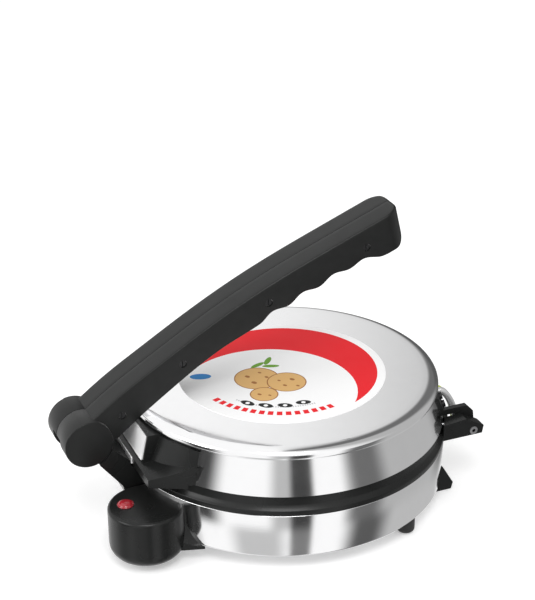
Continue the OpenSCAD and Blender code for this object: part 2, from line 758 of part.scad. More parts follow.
// A tube of radius r in the plane x, along the conduit's curve
module tube(x, r, bow) {
    path = conduit_path(bow);
    end = len(path) - 1;
    points = [for (i = [0:end]) let (
        d = path[min(i + 1, end)] - path[max(i - 1, 0)], n = [-d[1], d[0]] / norm(d))
        for (k = [0:tube_sides - 1]) let (a = k * 360 / tube_sides)
            [x + r * cos(a), path[i][0] + r * sin(a) * n[0], path[i][1] + r * sin(a) * n[1]]];
    faces = concat(
        [[for (k = [tube_sides - 1:-1:0]) k]],
        [[for (k = [0:tube_sides - 1]) end * tube_sides + k]],
        [for (i = [0:end - 1], k = [0:tube_sides - 1]) let (j = (k + 1) % tube_sides)
            [i * tube_sides + k, i * tube_sides + j, (i + 1) * tube_sides + j, (i + 1) * tube_sides + k]]
    );
    polyhedron(points, faces);
}
module conduit() color(steel) rotate(-conduit_angle) tube(conduit_off, conduit_r, 0);
module earth_wire() color([0.7, 0.8, 0.2]) rotate(-conduit_angle) tube(earth_off, earth_r, earth_bow);

// The lid's hinge arms
lid_arm_x = ear_x - ear_t - play;
lid_arm_low = lid_z + 0.6;
lid_arm_top = lid_z + 4.8;
lid_arm_end = [5, -0.5];
lid_arm_throat = 10;
knuckle_from = 200;
knuckle_to = 10;
pad_low = lid_z + 2;
pad_high = lid_z + 15;
pad_x = conduit_x + bushing_lip_r + 0.7;
lid_screw_heights = [4.9, 11.2];
lid_screw_angle = asin((pad_x + lid_arm_x - web_t) / 2 / lid_r);

module hinge_arm() difference() {
    union() {
        slab(lid_arm_x - web_t, lid_arm_x) polygon([
            [chord(lid_r, lid_arm_x) - ear_root, lid_arm_low], [hinge[0] - lid_arm_throat, lid_arm_low],
            hinge + knuckle_r * [cos(knuckle_from), sin(knuckle_from)], hinge,
            hinge + knuckle_r * [cos(knuckle_to), sin(knuckle_to)],
            [hinge[0], lid_z] + lid_arm_end, [hinge[0], lid_arm_top],
            [chord(lid_r, lid_arm_x) - ear_root, lid_arm_top]
        ]);
        bar_x(hinge, knuckle_r, lid_arm_x - arm_t, lid_arm_x);
        intersection() {
            rotate_extrude() polygon([
                [lid_wall_r(pad_low) - cut, pad_low], [lid_wall_r(pad_low) + flange_t, pad_low],
                [lid_wall_r(pad_high) + flange_t, pad_high], [lid_wall_r(pad_high) - cut, pad_high]
            ]);
            translate([pad_x, 0, 0]) cube([lid_arm_x - pad_x, 2 * lid_r, 2 * lid_z]);
        }
    }
    lid_room();
    bar_x(hinge, hinge_pin_r + pin_fit, lid_arm_x - 2 * arm_t, ear_x);
    hinge_lid_screw_places() screw_hole(hinge_screw_len, hinge_screw_len);
}
module hinge_lid_screw_places() {
    for (h = lid_screw_heights) rotate(-lid_screw_angle)
        translate([0, lid_wall_r(lid_z + h) + flange_t, lid_z + h]) rotate([wall_lean - 90, 0, 0]) children();
}
module hinge_lid_right() color(black) hinge_arm();
module hinge_lid_left() color(black) mirror([1, 0, 0]) hinge_arm();
module hinge_lid_screws() color(steel) both_sides() hinge_lid_screw_places() screw(flange_t + sheet_t);

// The lid: shell, label, ring and heating parts
roll = [rim_r - rim_roll_r, neck_z + 0.4 + rim_roll_r];
roll_from = -80;
roll_to = 55;
crown_in = 2;
crown_drop = 0.2;
ring_seat = 0.2;
ring_foot = 0.5;
ring_band = 5.1;
ring_in = 4;
plate_step = 6;
plate_low_t = plate_t * 0.6;
lid_ring_low = upper_plate_z + ring_foot;
lid_ring_high = lid_ring_low + ring_band;
function lid_inner_r(z) = lid_wall_r(z) - sheet_t - ring_seat;

module lid_shell() color(steel) difference() {
    rotate_extrude() polygon(concat(
        [[lid_r, lid_z], [lid_neck_r, neck_z]],
        arc(roll, rim_roll_r, roll_from, roll_to),
        [[lid_neck_r + crown_drop, lid_top_z - crown_drop], [lid_neck_r - crown_in, lid_top_z],
         [0, lid_top_z], [0, lid_top_z - sheet_t], [lid_neck_r - crown_in, lid_top_z - sheet_t],
         [lid_neck_r, lid_top_z - sheet_t - crown_drop]],
        arc(roll, rim_roll_r - sheet_t, roll_to, roll_from),
        [[lid_neck_r - sheet_t, neck_z + sheet_t], [lid_r - sheet_t, lid_z]]
    ));
    lid_bushing_place() bushing_hole();
    both_sides() hinge_lid_screw_places() screw_hole(hinge_screw_len, 0);
    bracket_screw_places() screw_hole(bracket_screw_len);
}

module lid_label() color([0.93, 0.93, 0.93]) translate([0, 0, lid_top_z]) cylinder(r = label_r, h = label_t);

module lid_ring() color(dark_plate) difference() {
    rotate_extrude() polygon([
        [plate_r + ring_seat, lid_ring_low], [lid_inner_r(lid_ring_low), lid_ring_low],
        [lid_inner_r(lid_ring_high), lid_ring_high], [plate_r - ring_in, upper_back_z + cut],
        [plate_r - ring_in, upper_back_z], [plate_r + ring_seat, upper_plate_z + plate_low_t + ring_seat]
    ]);
    lid_bushing_place() translate([0, 0, -bushing_in - screw_room])
        cylinder(r = bushing_r + screw_room, h = 4 * bushing_in);
}

module upper_plate() color(dark_plate) difference() {
    translate([0, 0, upper_plate_z]) {
        cylinder(r = plate_r, h = plate_low_t);
        cylinder(r = plate_r - plate_step, h = plate_t);
    }
    translate([0, 0, upper_back_z]) mirror([0, 0, 1]) element_groove();
    translate([0, 0, upper_plate_z + plate_t / 2]) cylinder(r = stud_r, h = plate_t);
}
module upper_element() color(burnt_steel) translate([0, 0, upper_back_z]) rotate(90) element(1);
module upper_insulator() color(mica) stud_disc(upper_back_z, insulator_t);
module upper_clamp_plate() color(pressed_steel) stud_disc(upper_back_z + insulator_t, clamp_t);
module upper_stud() color(steel) translate([0, 0, upper_plate_z + plate_t / 2])
    cylinder(r = stud_r, h = lid_top_z - sheet_t - upper_plate_z - plate_t / 2);

// The front bracket on the lid: shelf, collar, plate block and tongue
shelf_z = lid_z + 2.7;
shelf_y = -(lid_r + shelf_reach);
shelf_back = 8;
shelf_back_rise = 4;
shelf_flank_rise = 10;
shelf_under = 4;
bracket_deep = 50;
collar_deep = 30;
collar_low = 1;
collar_top = neck_z - 2;
collar_angle = 2 * asin(collar_w / 2 / lid_r);
corner_y = -chord(lid_r, collar_w / 2);
corner_in = 2;
block_w = plate_w + 3;
block_top = neck_z - play;
block_back = 20;
plate_low = [shelf_y + 3.2, lid_z + 5.5];
tongue_root = 4;
tongue_over = 3;
bracket_screw_angles = [-30, -22, 22, 30];
bracket_screw_z = lid_z + 15;
collar_skin = 0.8;
bracket_screw_len = sheet_t + collar_t * cos(wall_lean) - collar_skin;

// Shelf and flanks, seen from above and from the side
module shelf_plan() polygon([
    [-shelf_w / 2, shelf_y], [shelf_w / 2, shelf_y], [collar_w / 2, corner_y + corner_in],
    [collar_w / 2, -bracket_deep], [-collar_w / 2, -bracket_deep], [-collar_w / 2, corner_y + corner_in]
]);
module shelf_side() polygon([
    [shelf_y - cut, shelf_z - shelf_edge_h], [-bracket_deep, shelf_z - shelf_edge_h],
    [-bracket_deep, shelf_z + shelf_flank_rise], [corner_y, shelf_z + shelf_flank_rise],
    [-lid_r + shelf_back, shelf_z + shelf_back_rise], [shelf_y, shelf_z], [shelf_y - cut, shelf_z]
]);

module lid_bracket() color(black) difference() {
    union() {
        intersection() {
            translate([0, 0, lid_z - shelf_under]) linear_extrude(lid_wall_h + shelf_under) shelf_plan();
            slab(-collar_w, collar_w) shelf_side();
        }
        intersection() {
            rotate(-90 - collar_angle / 2) rotate_extrude(angle = collar_angle) polygon([
                [lid_r - collar_deep, lid_z + collar_low],
                [lid_wall_r(lid_z + collar_low) + collar_t, lid_z + collar_low],
                [lid_wall_r(collar_top) + collar_t, collar_top], [lid_r - collar_deep, collar_top]
            ]);
            translate([-collar_w / 2, -2 * lid_r, 0]) cube([collar_w, 2 * lid_r, 2 * lid_top_z]);
        }
        slab(-block_w / 2, block_w / 2) polygon([
            [plate_low[0] - cut / 2, shelf_z - cut], plate_low,
            plate_low + (block_top - plate_low[1]) * [tan(plate_lean), 1],
            [-lid_neck_r + block_back, block_top], [-lid_neck_r + block_back, shelf_z - cut]
        ]);
        slab(-tongue_w / 2, tongue_w / 2) {
            translate(hub) circle(r = eye_r);
            translate(hub) rotate(tongue_angle) translate([0, -tongue_t / 2])
                square([norm(tongue_dir) + tongue_over, tongue_t]);
            polygon([
                [shelf_y, shelf_z - 2 * cut], [shelf_y, lid_z - tongue_drop - tongue_root],
                [-base_top_r, lid_z - tongue_drop - tongue_root], [-base_top_r, shelf_z - 2 * cut]
            ]);
        }
    }
    lid_room();
    base_room(play);
    bar_x(hub, pivot_r, -hub_w, hub_w);
    bracket_screw_places() screw_hole(bracket_screw_len);
}
module bracket_screw_places() {
    for (a = bracket_screw_angles) rotate(a)
        translate([0, -lid_wall_r(bracket_screw_z) + sheet_t, bracket_screw_z])
            rotate([-90 - wall_lean, 0, 0]) children();
}
module bracket_screws() color(steel) bracket_screw_places() screw(bracket_screw_len);

module name_plate() color([0.9, 0.9, 0.9]) slab(-plate_w / 2, plate_w / 2) translate(plate_low)
    rotate(-plate_lean) translate([-name_plate_t, 0]) square([name_plate_t, name_plate_h]);

strip_t = 0.8;
strip_h = 5;
module wear_strip() color(steel) difference() {
    slab(-strip_w / 2, strip_w / 2) translate([shelf_y - strip_t, shelf_z - strip_h])
        square([strip_t, strip_h]);
    slab(-tongue_w / 2 - screw_room, tongue_w / 2 + screw_room) translate(hub) rotate(tongue_angle)
        translate([0, -tongue_t]) square([2 * hub_reach, 1.5 * tongue_t + screw_room]);
}

pin_end_gap = 2;
pin_end_room = 0.3;
module pivot_pin() color(steel) bar_x(hub, pivot_r, -hub_w / 2 + pin_end_gap, hub_w / 2 - pin_end_gap);

// The handle's upper face, as [distance, [y, z]] from the hub outwards
spine_step = 3;
neck_start = [2.9, 1.7];
handle_start = hub + [neck_start[0], hub_r - neck_start[1]];
neck_bend_end = 45;
arm_bend_start = 60;
arm_bend_end = 200;
neck_fade = 90;
grip_start = 95;
finger_start = 131;
finger_end = finger_start + finger_count * finger_pitch;

// Slope of the upper face and depth of the handle at a distance s along it
function slope(s) = neck_angle + (arm_angle - neck_angle) * ease(s, 0, neck_bend_end)
    + (grip_angle - arm_angle) * ease(s, arm_bend_start, arm_bend_end);
function ahead(s) = [cos(slope(s)), sin(slope(s))];
function below(s) = [sin(slope(s)), -cos(slope(s))];
function fingers(s) = s > finger_start && s < finger_end
    ? finger_depth * (1 - cos((s - finger_start) * 360 / finger_pitch)) / 2 : 0;
function depth(s) = arm_depth + neck_depth * (1 - ease(s, 0, neck_fade))
    + (grip_depth - arm_depth) * ease(s, grip_start, finger_start)
    + knob_depth * ease(s, finger_end - finger_pitch, finger_end + finger_pitch / 4) - fingers(s);
spine = [
    for (s = 0, p = handle_start; s <= handle_len; p = p + spine_step * ahead(s), s = s + spine_step) [s, p]
];
tip = spine[len(spine) - 1][1];
tip_ahead = [cos(grip_angle), sin(grip_angle)];
tip_below = [sin(grip_angle), -cos(grip_angle)];
tip_depth = depth(handle_len);
neck_foot_angle = -10;

// Side outline of the handle without its hub
module handle_side() polygon(concat(
    [for (e = spine) if (e[0] < handle_len - tip_side_r) e[1]],
    [for (a = [0:15:90]) tip + tip_side_r * (tip_below - tip_ahead)
        + tip_side_r * (sin(a) * tip_ahead - cos(a) * tip_below)],
    [for (a = [0:15:90]) tip + (tip_depth - knob_r) * tip_below - knob_r * tip_ahead
        + knob_r * (cos(a) * tip_ahead + sin(a) * tip_below)],
    [for (i = [len(spine) - 1:-1:0]) let (s = spine[i][0]) if (s < handle_len - knob_r - 1)
        spine[i][1] + depth(s) * below(s)],
    [hub + hub_r * [cos(neck_foot_angle), sin(neck_foot_angle)], hub]
));

// Outline of the handle seen from above its grip, with the rounded end
module handle_plan() {
    w = handle_w / 2;
    translate([-2 * handle_len, -w]) square([2 * handle_len - tip_plan_r, 2 * w]);
    translate([-2 * handle_len, -w + tip_plan_r]) square([2 * handle_len, 2 * (w - tip_plan_r)]);
    for (s = [-1, 1]) translate([-tip_plan_r, s * (w - tip_plan_r)]) circle(r = tip_plan_r);
}

// The hub's slot, which leaves the tongue more travel than the joint uses
swing = 125;
slot_over = 12;
slot_arc_steps = 8;
slot_half = tongue_w / 2 + play;
cavity_r = eye_r + play;
module hub_slot() slab(-slot_half, slot_half) translate(hub) {
    circle(r = cavity_r);
    for (a = [0, swing]) rotate(tongue_angle - a) translate([0, -tongue_t / 2 - play])
        square([hub_r + slot_over, tongue_t + 2 * play]);
    polygon(concat(
        [[0, 0]], arc([0, 0], hub_r + slot_over, tongue_angle, tongue_angle - swing, slot_arc_steps)
    ));
}

// The steel bar and the screws inside the handle
bar_top = 5.5;
bar_deep = 11;
bar_t = 3;
bar_from = 18;
bar_to = 160;
bar_hole_room = 0.2;
screw_stations = [18, 72, 144, 222];
screw_depths = [13.1, 11.2, 11.6, 13.9];
screw_recess = 1.4;
handle_screw_len = 22;

module bar_outline() polygon(concat(
    [for (e = spine) if (e[0] > bar_from && e[0] < bar_to) e[1] + bar_top * below(e[0])],
    [for (i = [len(spine) - 1:-1:0]) let (e = spine[i]) if (e[0] > bar_from && e[0] < bar_to)
        e[1] + (bar_top + bar_deep) * below(e[0])]
));
function station(i) =
    let (e = spine[round(screw_stations[i] / spine_step)]) e[1] + screw_depths[i] * below(e[0]);
module handle_screw_places() {
    for (i = [0:len(screw_stations) - 1]) let (p = station(i))
        translate([handle_w / 2 - screw_head_h - screw_recess, p[0], p[1]]) rotate([0, 90, 0]) children();
}

// The whole handle in one, before it is split at the centre plane
module handle_body() difference() {
    union() {
        intersection() {
            slab(-handle_w / 2, handle_w / 2) handle_side();
            translate([0, tip[0], tip[1]]) rotate([grip_angle, 0, 0]) translate([0, 0, -handle_len])
                linear_extrude(2 * handle_len) rotate(90) handle_plan();
        }
        bar_x(hub, hub_r, -hub_w / 2, hub_w / 2);
    }
    hub_slot();
    bar_x(hub, pivot_r + pin_fit, pin_end_gap - pin_end_room - hub_w / 2,
        hub_w / 2 - pin_end_gap + pin_end_room);
    slab(-bar_t / 2, bar_t / 2) bar_outline();
    handle_screw_places() cylinder(r = screw_head_r + screw_room, h = handle_w);
    handle_screw_places() screw_hole(handle_screw_len);
}
module half_space() translate([seam_gap / 2, -2 * handle_len, -handle_len])
    cube([hub_w, 4 * handle_len, 3 * handle_len]);
module handle_right_half() color(black) intersection() {
    handle_body();
    half_space();
}
module handle_left_half() color(black) intersection() {
    handle_body();
    mirror([1, 0, 0]) half_space();
}
module handle_bar() color(steel) difference() {
    slab(-bar_t / 2, bar_t / 2) bar_outline();
    handle_screw_places() translate([0, 0, -handle_screw_len])
        cylinder(r = screw_r + bar_hole_room, h = handle_screw_len + cut);
}
module handle_screws() color(steel) handle_screw_places() screw(handle_screw_len);

base_shell();
base_ring();
bottom_cover();
lower_plate();
lower_element();
lower_insulator();
lower_clamp_plate();
thermostat();
thermal_fuse();
base_leads();
base_stud();
base_screws();
rubber_feet();
rear_stands();
front_housing();
housing_cover();
terminal_block();
indicator_lens();
indicator_lamp();
cord_gland();
front_post();
post_screws();
hinge_base_left();
hinge_base_right();
hinge_base_screws();
hinge_pins();
base_bushing();
conduit();
earth_wire();
lid_shell();
lid_label();
lid_ring();
upper_plate();
upper_element();
upper_insulator();
upper_clamp_plate();
upper_stud();
lid_bushing();
hinge_lid_left();
hinge_lid_right();
hinge_lid_screws();
lid_bracket();
bracket_screws();
name_plate();
wear_strip();
pivot_pin();
handle_right_half();
handle_left_half();
handle_bar();
handle_screws();
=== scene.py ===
"""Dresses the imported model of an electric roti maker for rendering.

Everything is in metres in the model's own frame: +Z up, the handle's hub towards -Y and the rear
hinge towards +Y. Sizes are written in millimetres and scaled once, where a mesh is finished.
"""

import logging
import math
from dataclasses import dataclass, field
from enum import Enum
from typing import Iterable, Optional, Sequence

import bmesh
import bpy
from mathutils import Matrix, Vector


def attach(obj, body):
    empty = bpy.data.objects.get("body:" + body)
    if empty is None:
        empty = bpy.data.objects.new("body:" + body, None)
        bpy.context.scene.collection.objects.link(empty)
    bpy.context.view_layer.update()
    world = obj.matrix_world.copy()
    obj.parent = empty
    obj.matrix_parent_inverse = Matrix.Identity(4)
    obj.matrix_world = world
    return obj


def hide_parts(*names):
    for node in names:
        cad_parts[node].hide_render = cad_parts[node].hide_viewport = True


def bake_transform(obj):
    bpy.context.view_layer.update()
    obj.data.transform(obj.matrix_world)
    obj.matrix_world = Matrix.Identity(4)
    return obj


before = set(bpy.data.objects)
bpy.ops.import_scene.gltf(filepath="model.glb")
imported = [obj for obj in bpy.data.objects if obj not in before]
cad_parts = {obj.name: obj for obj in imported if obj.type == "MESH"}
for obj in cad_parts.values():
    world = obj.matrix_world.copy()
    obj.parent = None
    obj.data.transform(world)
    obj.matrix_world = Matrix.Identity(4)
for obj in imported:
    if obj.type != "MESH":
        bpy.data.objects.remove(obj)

MM = 0.001
LOG = logging.getLogger("roti_maker")
Point = tuple[float, float]
Socket = bpy.types.NodeSocket
Mesh = bmesh.types.BMesh
Material = bpy.types.Material
Tree = bpy.types.NodeTree
Place = tuple[float, float, float]
WHITE = (1.0, 1.0, 1.0, 1.0)


class Body(Enum):
    """The moving bodies of the model."""

    BASE = "base"
    LID = "lid"
    HANDLE = "handle"


class Slot(Enum):
    """The record's material slots, which are passed with the new pieces but not read."""

    STEEL = "polished_steel"
    HARDWARE = "hardware_steel"
    PLASTIC = "black_plastic"
    COATING = "plate_coating"
    RUBBER = "rubber"
    LENS = "lens_red"
    PRINT = "label_print"
    PLATE = "plate_face"
    CONDUIT = "conduit_sleeve"
    EARTH = "earth_sleeve"


# Shader nodes, groups and finishes


def feed(tree: Tree, socket: Socket, value: "float | tuple | Socket") -> None:
    """Links a socket to another, or sets its value."""
    if isinstance(value, Socket):
        tree.links.new(value, socket)
    else:
        socket.default_value = value


def math_node(tree: Tree, operation: str, a: float | Socket, b: float | Socket = 0.0) -> Socket:
    """Adds one Math node on two numbers or sockets."""
    node = tree.nodes.new("ShaderNodeMath")
    node.operation = operation
    feed(tree, node.inputs[0], a)
    feed(tree, node.inputs[1], b)
    return node.outputs[0]


def mix_node(tree: Tree, factor: Socket, a: tuple | Socket, b: tuple | Socket) -> Socket:
    """Adds one node that mixes two colours."""
    node = tree.nodes.new("ShaderNodeMix")
    node.data_type = "RGBA"
    for name, value in (("Factor", factor), ("A", a), ("B", b)):
        feed(tree, node.inputs[name], value)
    return node.outputs["Result"]


def step_node(tree: Tree, value: Socket, low: float, high: float, kind: str = "LINEAR") -> Socket:
    """Adds one node that rises from 0 at low to 1 at high."""
    node = tree.nodes.new("ShaderNodeMapRange")
    node.interpolation_type = kind
    node.inputs["From Min"].default_value = low
    node.inputs["From Max"].default_value = high
    feed(tree, node.inputs["Value"], value)
    return node.outputs["Result"]


@dataclass(eq=False)
class FieldGroup:
    """A shader group that turns object coordinates into one soft pattern from 0 to 1.

    The group has the inputs Vector, Scale, Low and High and the output Value, and is built once.
    """

    name: str
    detail: float = 3.0
    stretch: Place = (1.0, 1.0, 1.0)
    tree: Optional[Tree] = None

    def build(self) -> Tree:
        """Builds the group, or gives the one that is already there.

        Returns:
            The group's node tree.
        """
        if self.tree is not None:
            return self.tree
        tree = bpy.data.node_groups.new(self.name, "ShaderNodeTree")
        tree.interface.new_socket("Vector", in_out="INPUT", socket_type="NodeSocketVector")
        for name, value in (("Scale", 400.0), ("Low", 0.0), ("High", 1.0)):
            socket = tree.interface.new_socket(name, in_out="INPUT", socket_type="NodeSocketFloat")
            socket.default_value = value
        tree.interface.new_socket("Value", in_out="OUTPUT", socket_type="NodeSocketFloat")
        inside = tree.nodes.new("NodeGroupInput")
        outside = tree.nodes.new("NodeGroupOutput")
        mapping = tree.nodes.new("ShaderNodeMapping")
        mapping.inputs["Scale"].default_value = self.stretch
        noise = tree.nodes.new("ShaderNodeTexNoise")
        noise.inputs["Detail"].default_value = self.detail
        spread = tree.nodes.new("ShaderNodeMapRange")
        spread.inputs["From Min"].default_value = 0.25
        spread.inputs["From Max"].default_value = 0.75
        link = tree.links.new
        link(inside.outputs["Vector"], mapping.inputs["Vector"])
        link(mapping.outputs["Vector"], noise.inputs["Vector"])
        link(inside.outputs["Scale"], noise.inputs["Scale"])
        link(noise.outputs["Fac"], spread.inputs["Value"])
        link(inside.outputs["Low"], spread.inputs["To Min"])
        link(inside.outputs["High"], spread.inputs["To Max"])
        link(spread.outputs["Result"], outside.inputs["Value"])
        self.tree = tree
        return tree


GRAIN = FieldGroup("fine_grain", detail=4.0)
HAZE = FieldGroup("handling_haze", detail=2.0)
ROLLED = FieldGroup("rolling_lines", detail=2.0, stretch=(1.0, 1.0, 40.0))


@dataclass(frozen=True)
class Finish:
    """A surface finish: its colour and gloss, and the patterns that vary them.

    Args:
        name: the material's name.
        colour: linear base colour.
        rough: lowest and highest roughness, varied by the haze.
        metal: 1 for bare metal.
        grain: the pattern pressed into the surface, in patterns per metre.
        bump: depth of that pattern, in millimetres.
        tint: how far the colour varies, as a share of it.
        coat: weight of a clear gloss coat.
        ior_level: strength of the reflection of a surface that isn't metal.
        pattern: which group makes the surface pattern.
        sheen: weight of the sheen of fibre or rubber.
    """

    name: str
    colour: Place
    rough: tuple[float, float]
    metal: float = 0.0
    grain: float = 900.0
    bump: float = 0.02
    tint: float = 0.08
    coat: float = 0.0
    ior_level: float = 0.5
    pattern: FieldGroup = GRAIN
    sheen: float = 0.0

    def _field(self, mat: Material, group: FieldGroup, scale: float, low: float, high: float) -> Socket:
        """Places one of the pattern groups in the material and gives its value socket."""
        nodes, links = mat.node_tree.nodes, mat.node_tree.links
        coords = nodes.get("coords")
        if coords is None:
            coords = nodes.new("ShaderNodeTexCoord")
            coords.name = "coords"
        node = nodes.new("ShaderNodeGroup")
        node.node_tree = group.build()
        node.inputs["Scale"].default_value = scale
        node.inputs["Low"].default_value = low
        node.inputs["High"].default_value = high
        links.new(coords.outputs["Object"], node.inputs["Vector"])
        return node.outputs["Value"]

    def material(self) -> Material:
        """Builds the finish's material, or gives the one that is already there.

        Returns:
            The material.
        """
        old = bpy.data.materials.get(self.name)
        if old is not None:
            return old
        mat = bpy.data.materials.new(self.name)
        mat.use_nodes = True
        nodes, links = mat.node_tree.nodes, mat.node_tree.links
        shader = nodes["Principled BSDF"]
        shader.inputs["Metallic"].default_value = self.metal
        shader.inputs["Coat Weight"].default_value = self.coat
        shader.inputs["Coat Roughness"].default_value = 0.08
        shader.inputs["Specular IOR Level"].default_value = self.ior_level
        shader.inputs["Sheen Weight"].default_value = self.sheen
        links.new(self._field(mat, HAZE, 45.0, *self.rough), shader.inputs["Roughness"])
        darker = (*(c * (1 - self.tint) for c in self.colour), 1)
        lighter = (*(min(c * (1 + self.tint), 1) for c in self.colour), 1)
        colour = mix_node(mat.node_tree, self._field(mat, HAZE, 120.0, 0.0, 1.0), darker, lighter)
        links.new(colour, shader.inputs["Base Color"])
        bump = nodes.new("ShaderNodeBump")
        bump.inputs["Distance"].default_value = self.bump * MM
        bump.inputs["Strength"].default_value = 1.0
        links.new(self._field(mat, self.pattern, self.grain, 0.0, 1.0), bump.inputs["Height"])
        links.new(bump.outputs["Normal"], shader.inputs["Normal"])
        return mat


POLISHED = Finish(
    "polished_sheet", (0.96, 0.96, 0.965), (0.08, 0.12), metal=1.0, grain=60.0, bump=0.004, tint=0.01,
    pattern=ROLLED,
)
SATIN_STEEL = Finish("satin_hardware", (0.62, 0.62, 0.63), (0.24, 0.36), metal=1.0, grain=1500.0, bump=0.01)
DARK_SCREW = Finish("dark_screw", (0.035, 0.035, 0.036), (0.35, 0.45), metal=0.6, grain=1500.0, bump=0.01)
# Painted highlight: the steel wear strip gets a near-white colour that stands in for glare on it.
PAINTED_GLARE_STRIP = Finish("strip_painted_glare", (0.95, 0.95, 0.95), (0.25, 0.32), grain=1200.0, bump=0.005, tint=0.01)
MOULDED = Finish(
    "moulded_black", (0.0125, 0.013, 0.0127), (0.3, 0.4), grain=1400.0, bump=0.01, tint=0.12, ior_level=0.26,
)
GLOSS_BLACK = Finish(
    "gloss_black", (0.0115, 0.012, 0.0117), (0.24, 0.32), grain=2600.0, bump=0.002, tint=0.1, ior_level=0.28,
)
COATED = Finish(
    "non_stick", (0.045, 0.045, 0.05), (0.38, 0.5), grain=2600.0, bump=0.03, tint=0.25, ior_level=0.45,
)
PRESSED = Finish(
    "pressed_sheet", (0.42, 0.42, 0.43), (0.35, 0.5), metal=1.0, grain=700.0, bump=0.02, tint=0.08,
)
HEATED = Finish(
    "heated_sheath", (0.24, 0.20, 0.17), (0.4, 0.55), metal=1.0, grain=800.0, bump=0.02, tint=0.25,
)
MICA = Finish("mica_board", (0.52, 0.45, 0.33), (0.6, 0.75), grain=260.0, bump=0.05, tint=0.2)
RUBBER = Finish(
    "foot_rubber", (0.018, 0.018, 0.018), (0.6, 0.75), grain=1100.0, bump=0.04, tint=0.15, sheen=0.1,
)
PALE = Finish("pale_moulding", (0.62, 0.58, 0.5), (0.45, 0.55), grain=900.0, bump=0.02, tint=0.06)
LENS = Finish("red_lens", (0.36, 0.016, 0.026), (0.1, 0.18), grain=500.0, bump=0.01, tint=0.2, coat=0.5)
WIRE = Finish("woven_sleeve", (0.4, 0.07, 0.04), (0.6, 0.75), grain=2500.0, bump=0.08, tint=0.2, sheen=0.2)
EARTH = Finish("earth_sleeve", (0.55, 0.68, 0.10), (0.4, 0.5), grain=1800.0, bump=0.02, tint=0.15)
BRAID = Finish("silver_sleeve", (0.72, 0.72, 0.72), (0.3, 0.42), metal=0.5, grain=2200.0, bump=0.04, tint=0.1)
BARE_PLATE = Finish(
    "bare_plate", (0.93, 0.93, 0.93), (0.3, 0.4), grain=1500.0, bump=0.004, tint=0.02, ior_level=0.15,
)


# Mesh tools


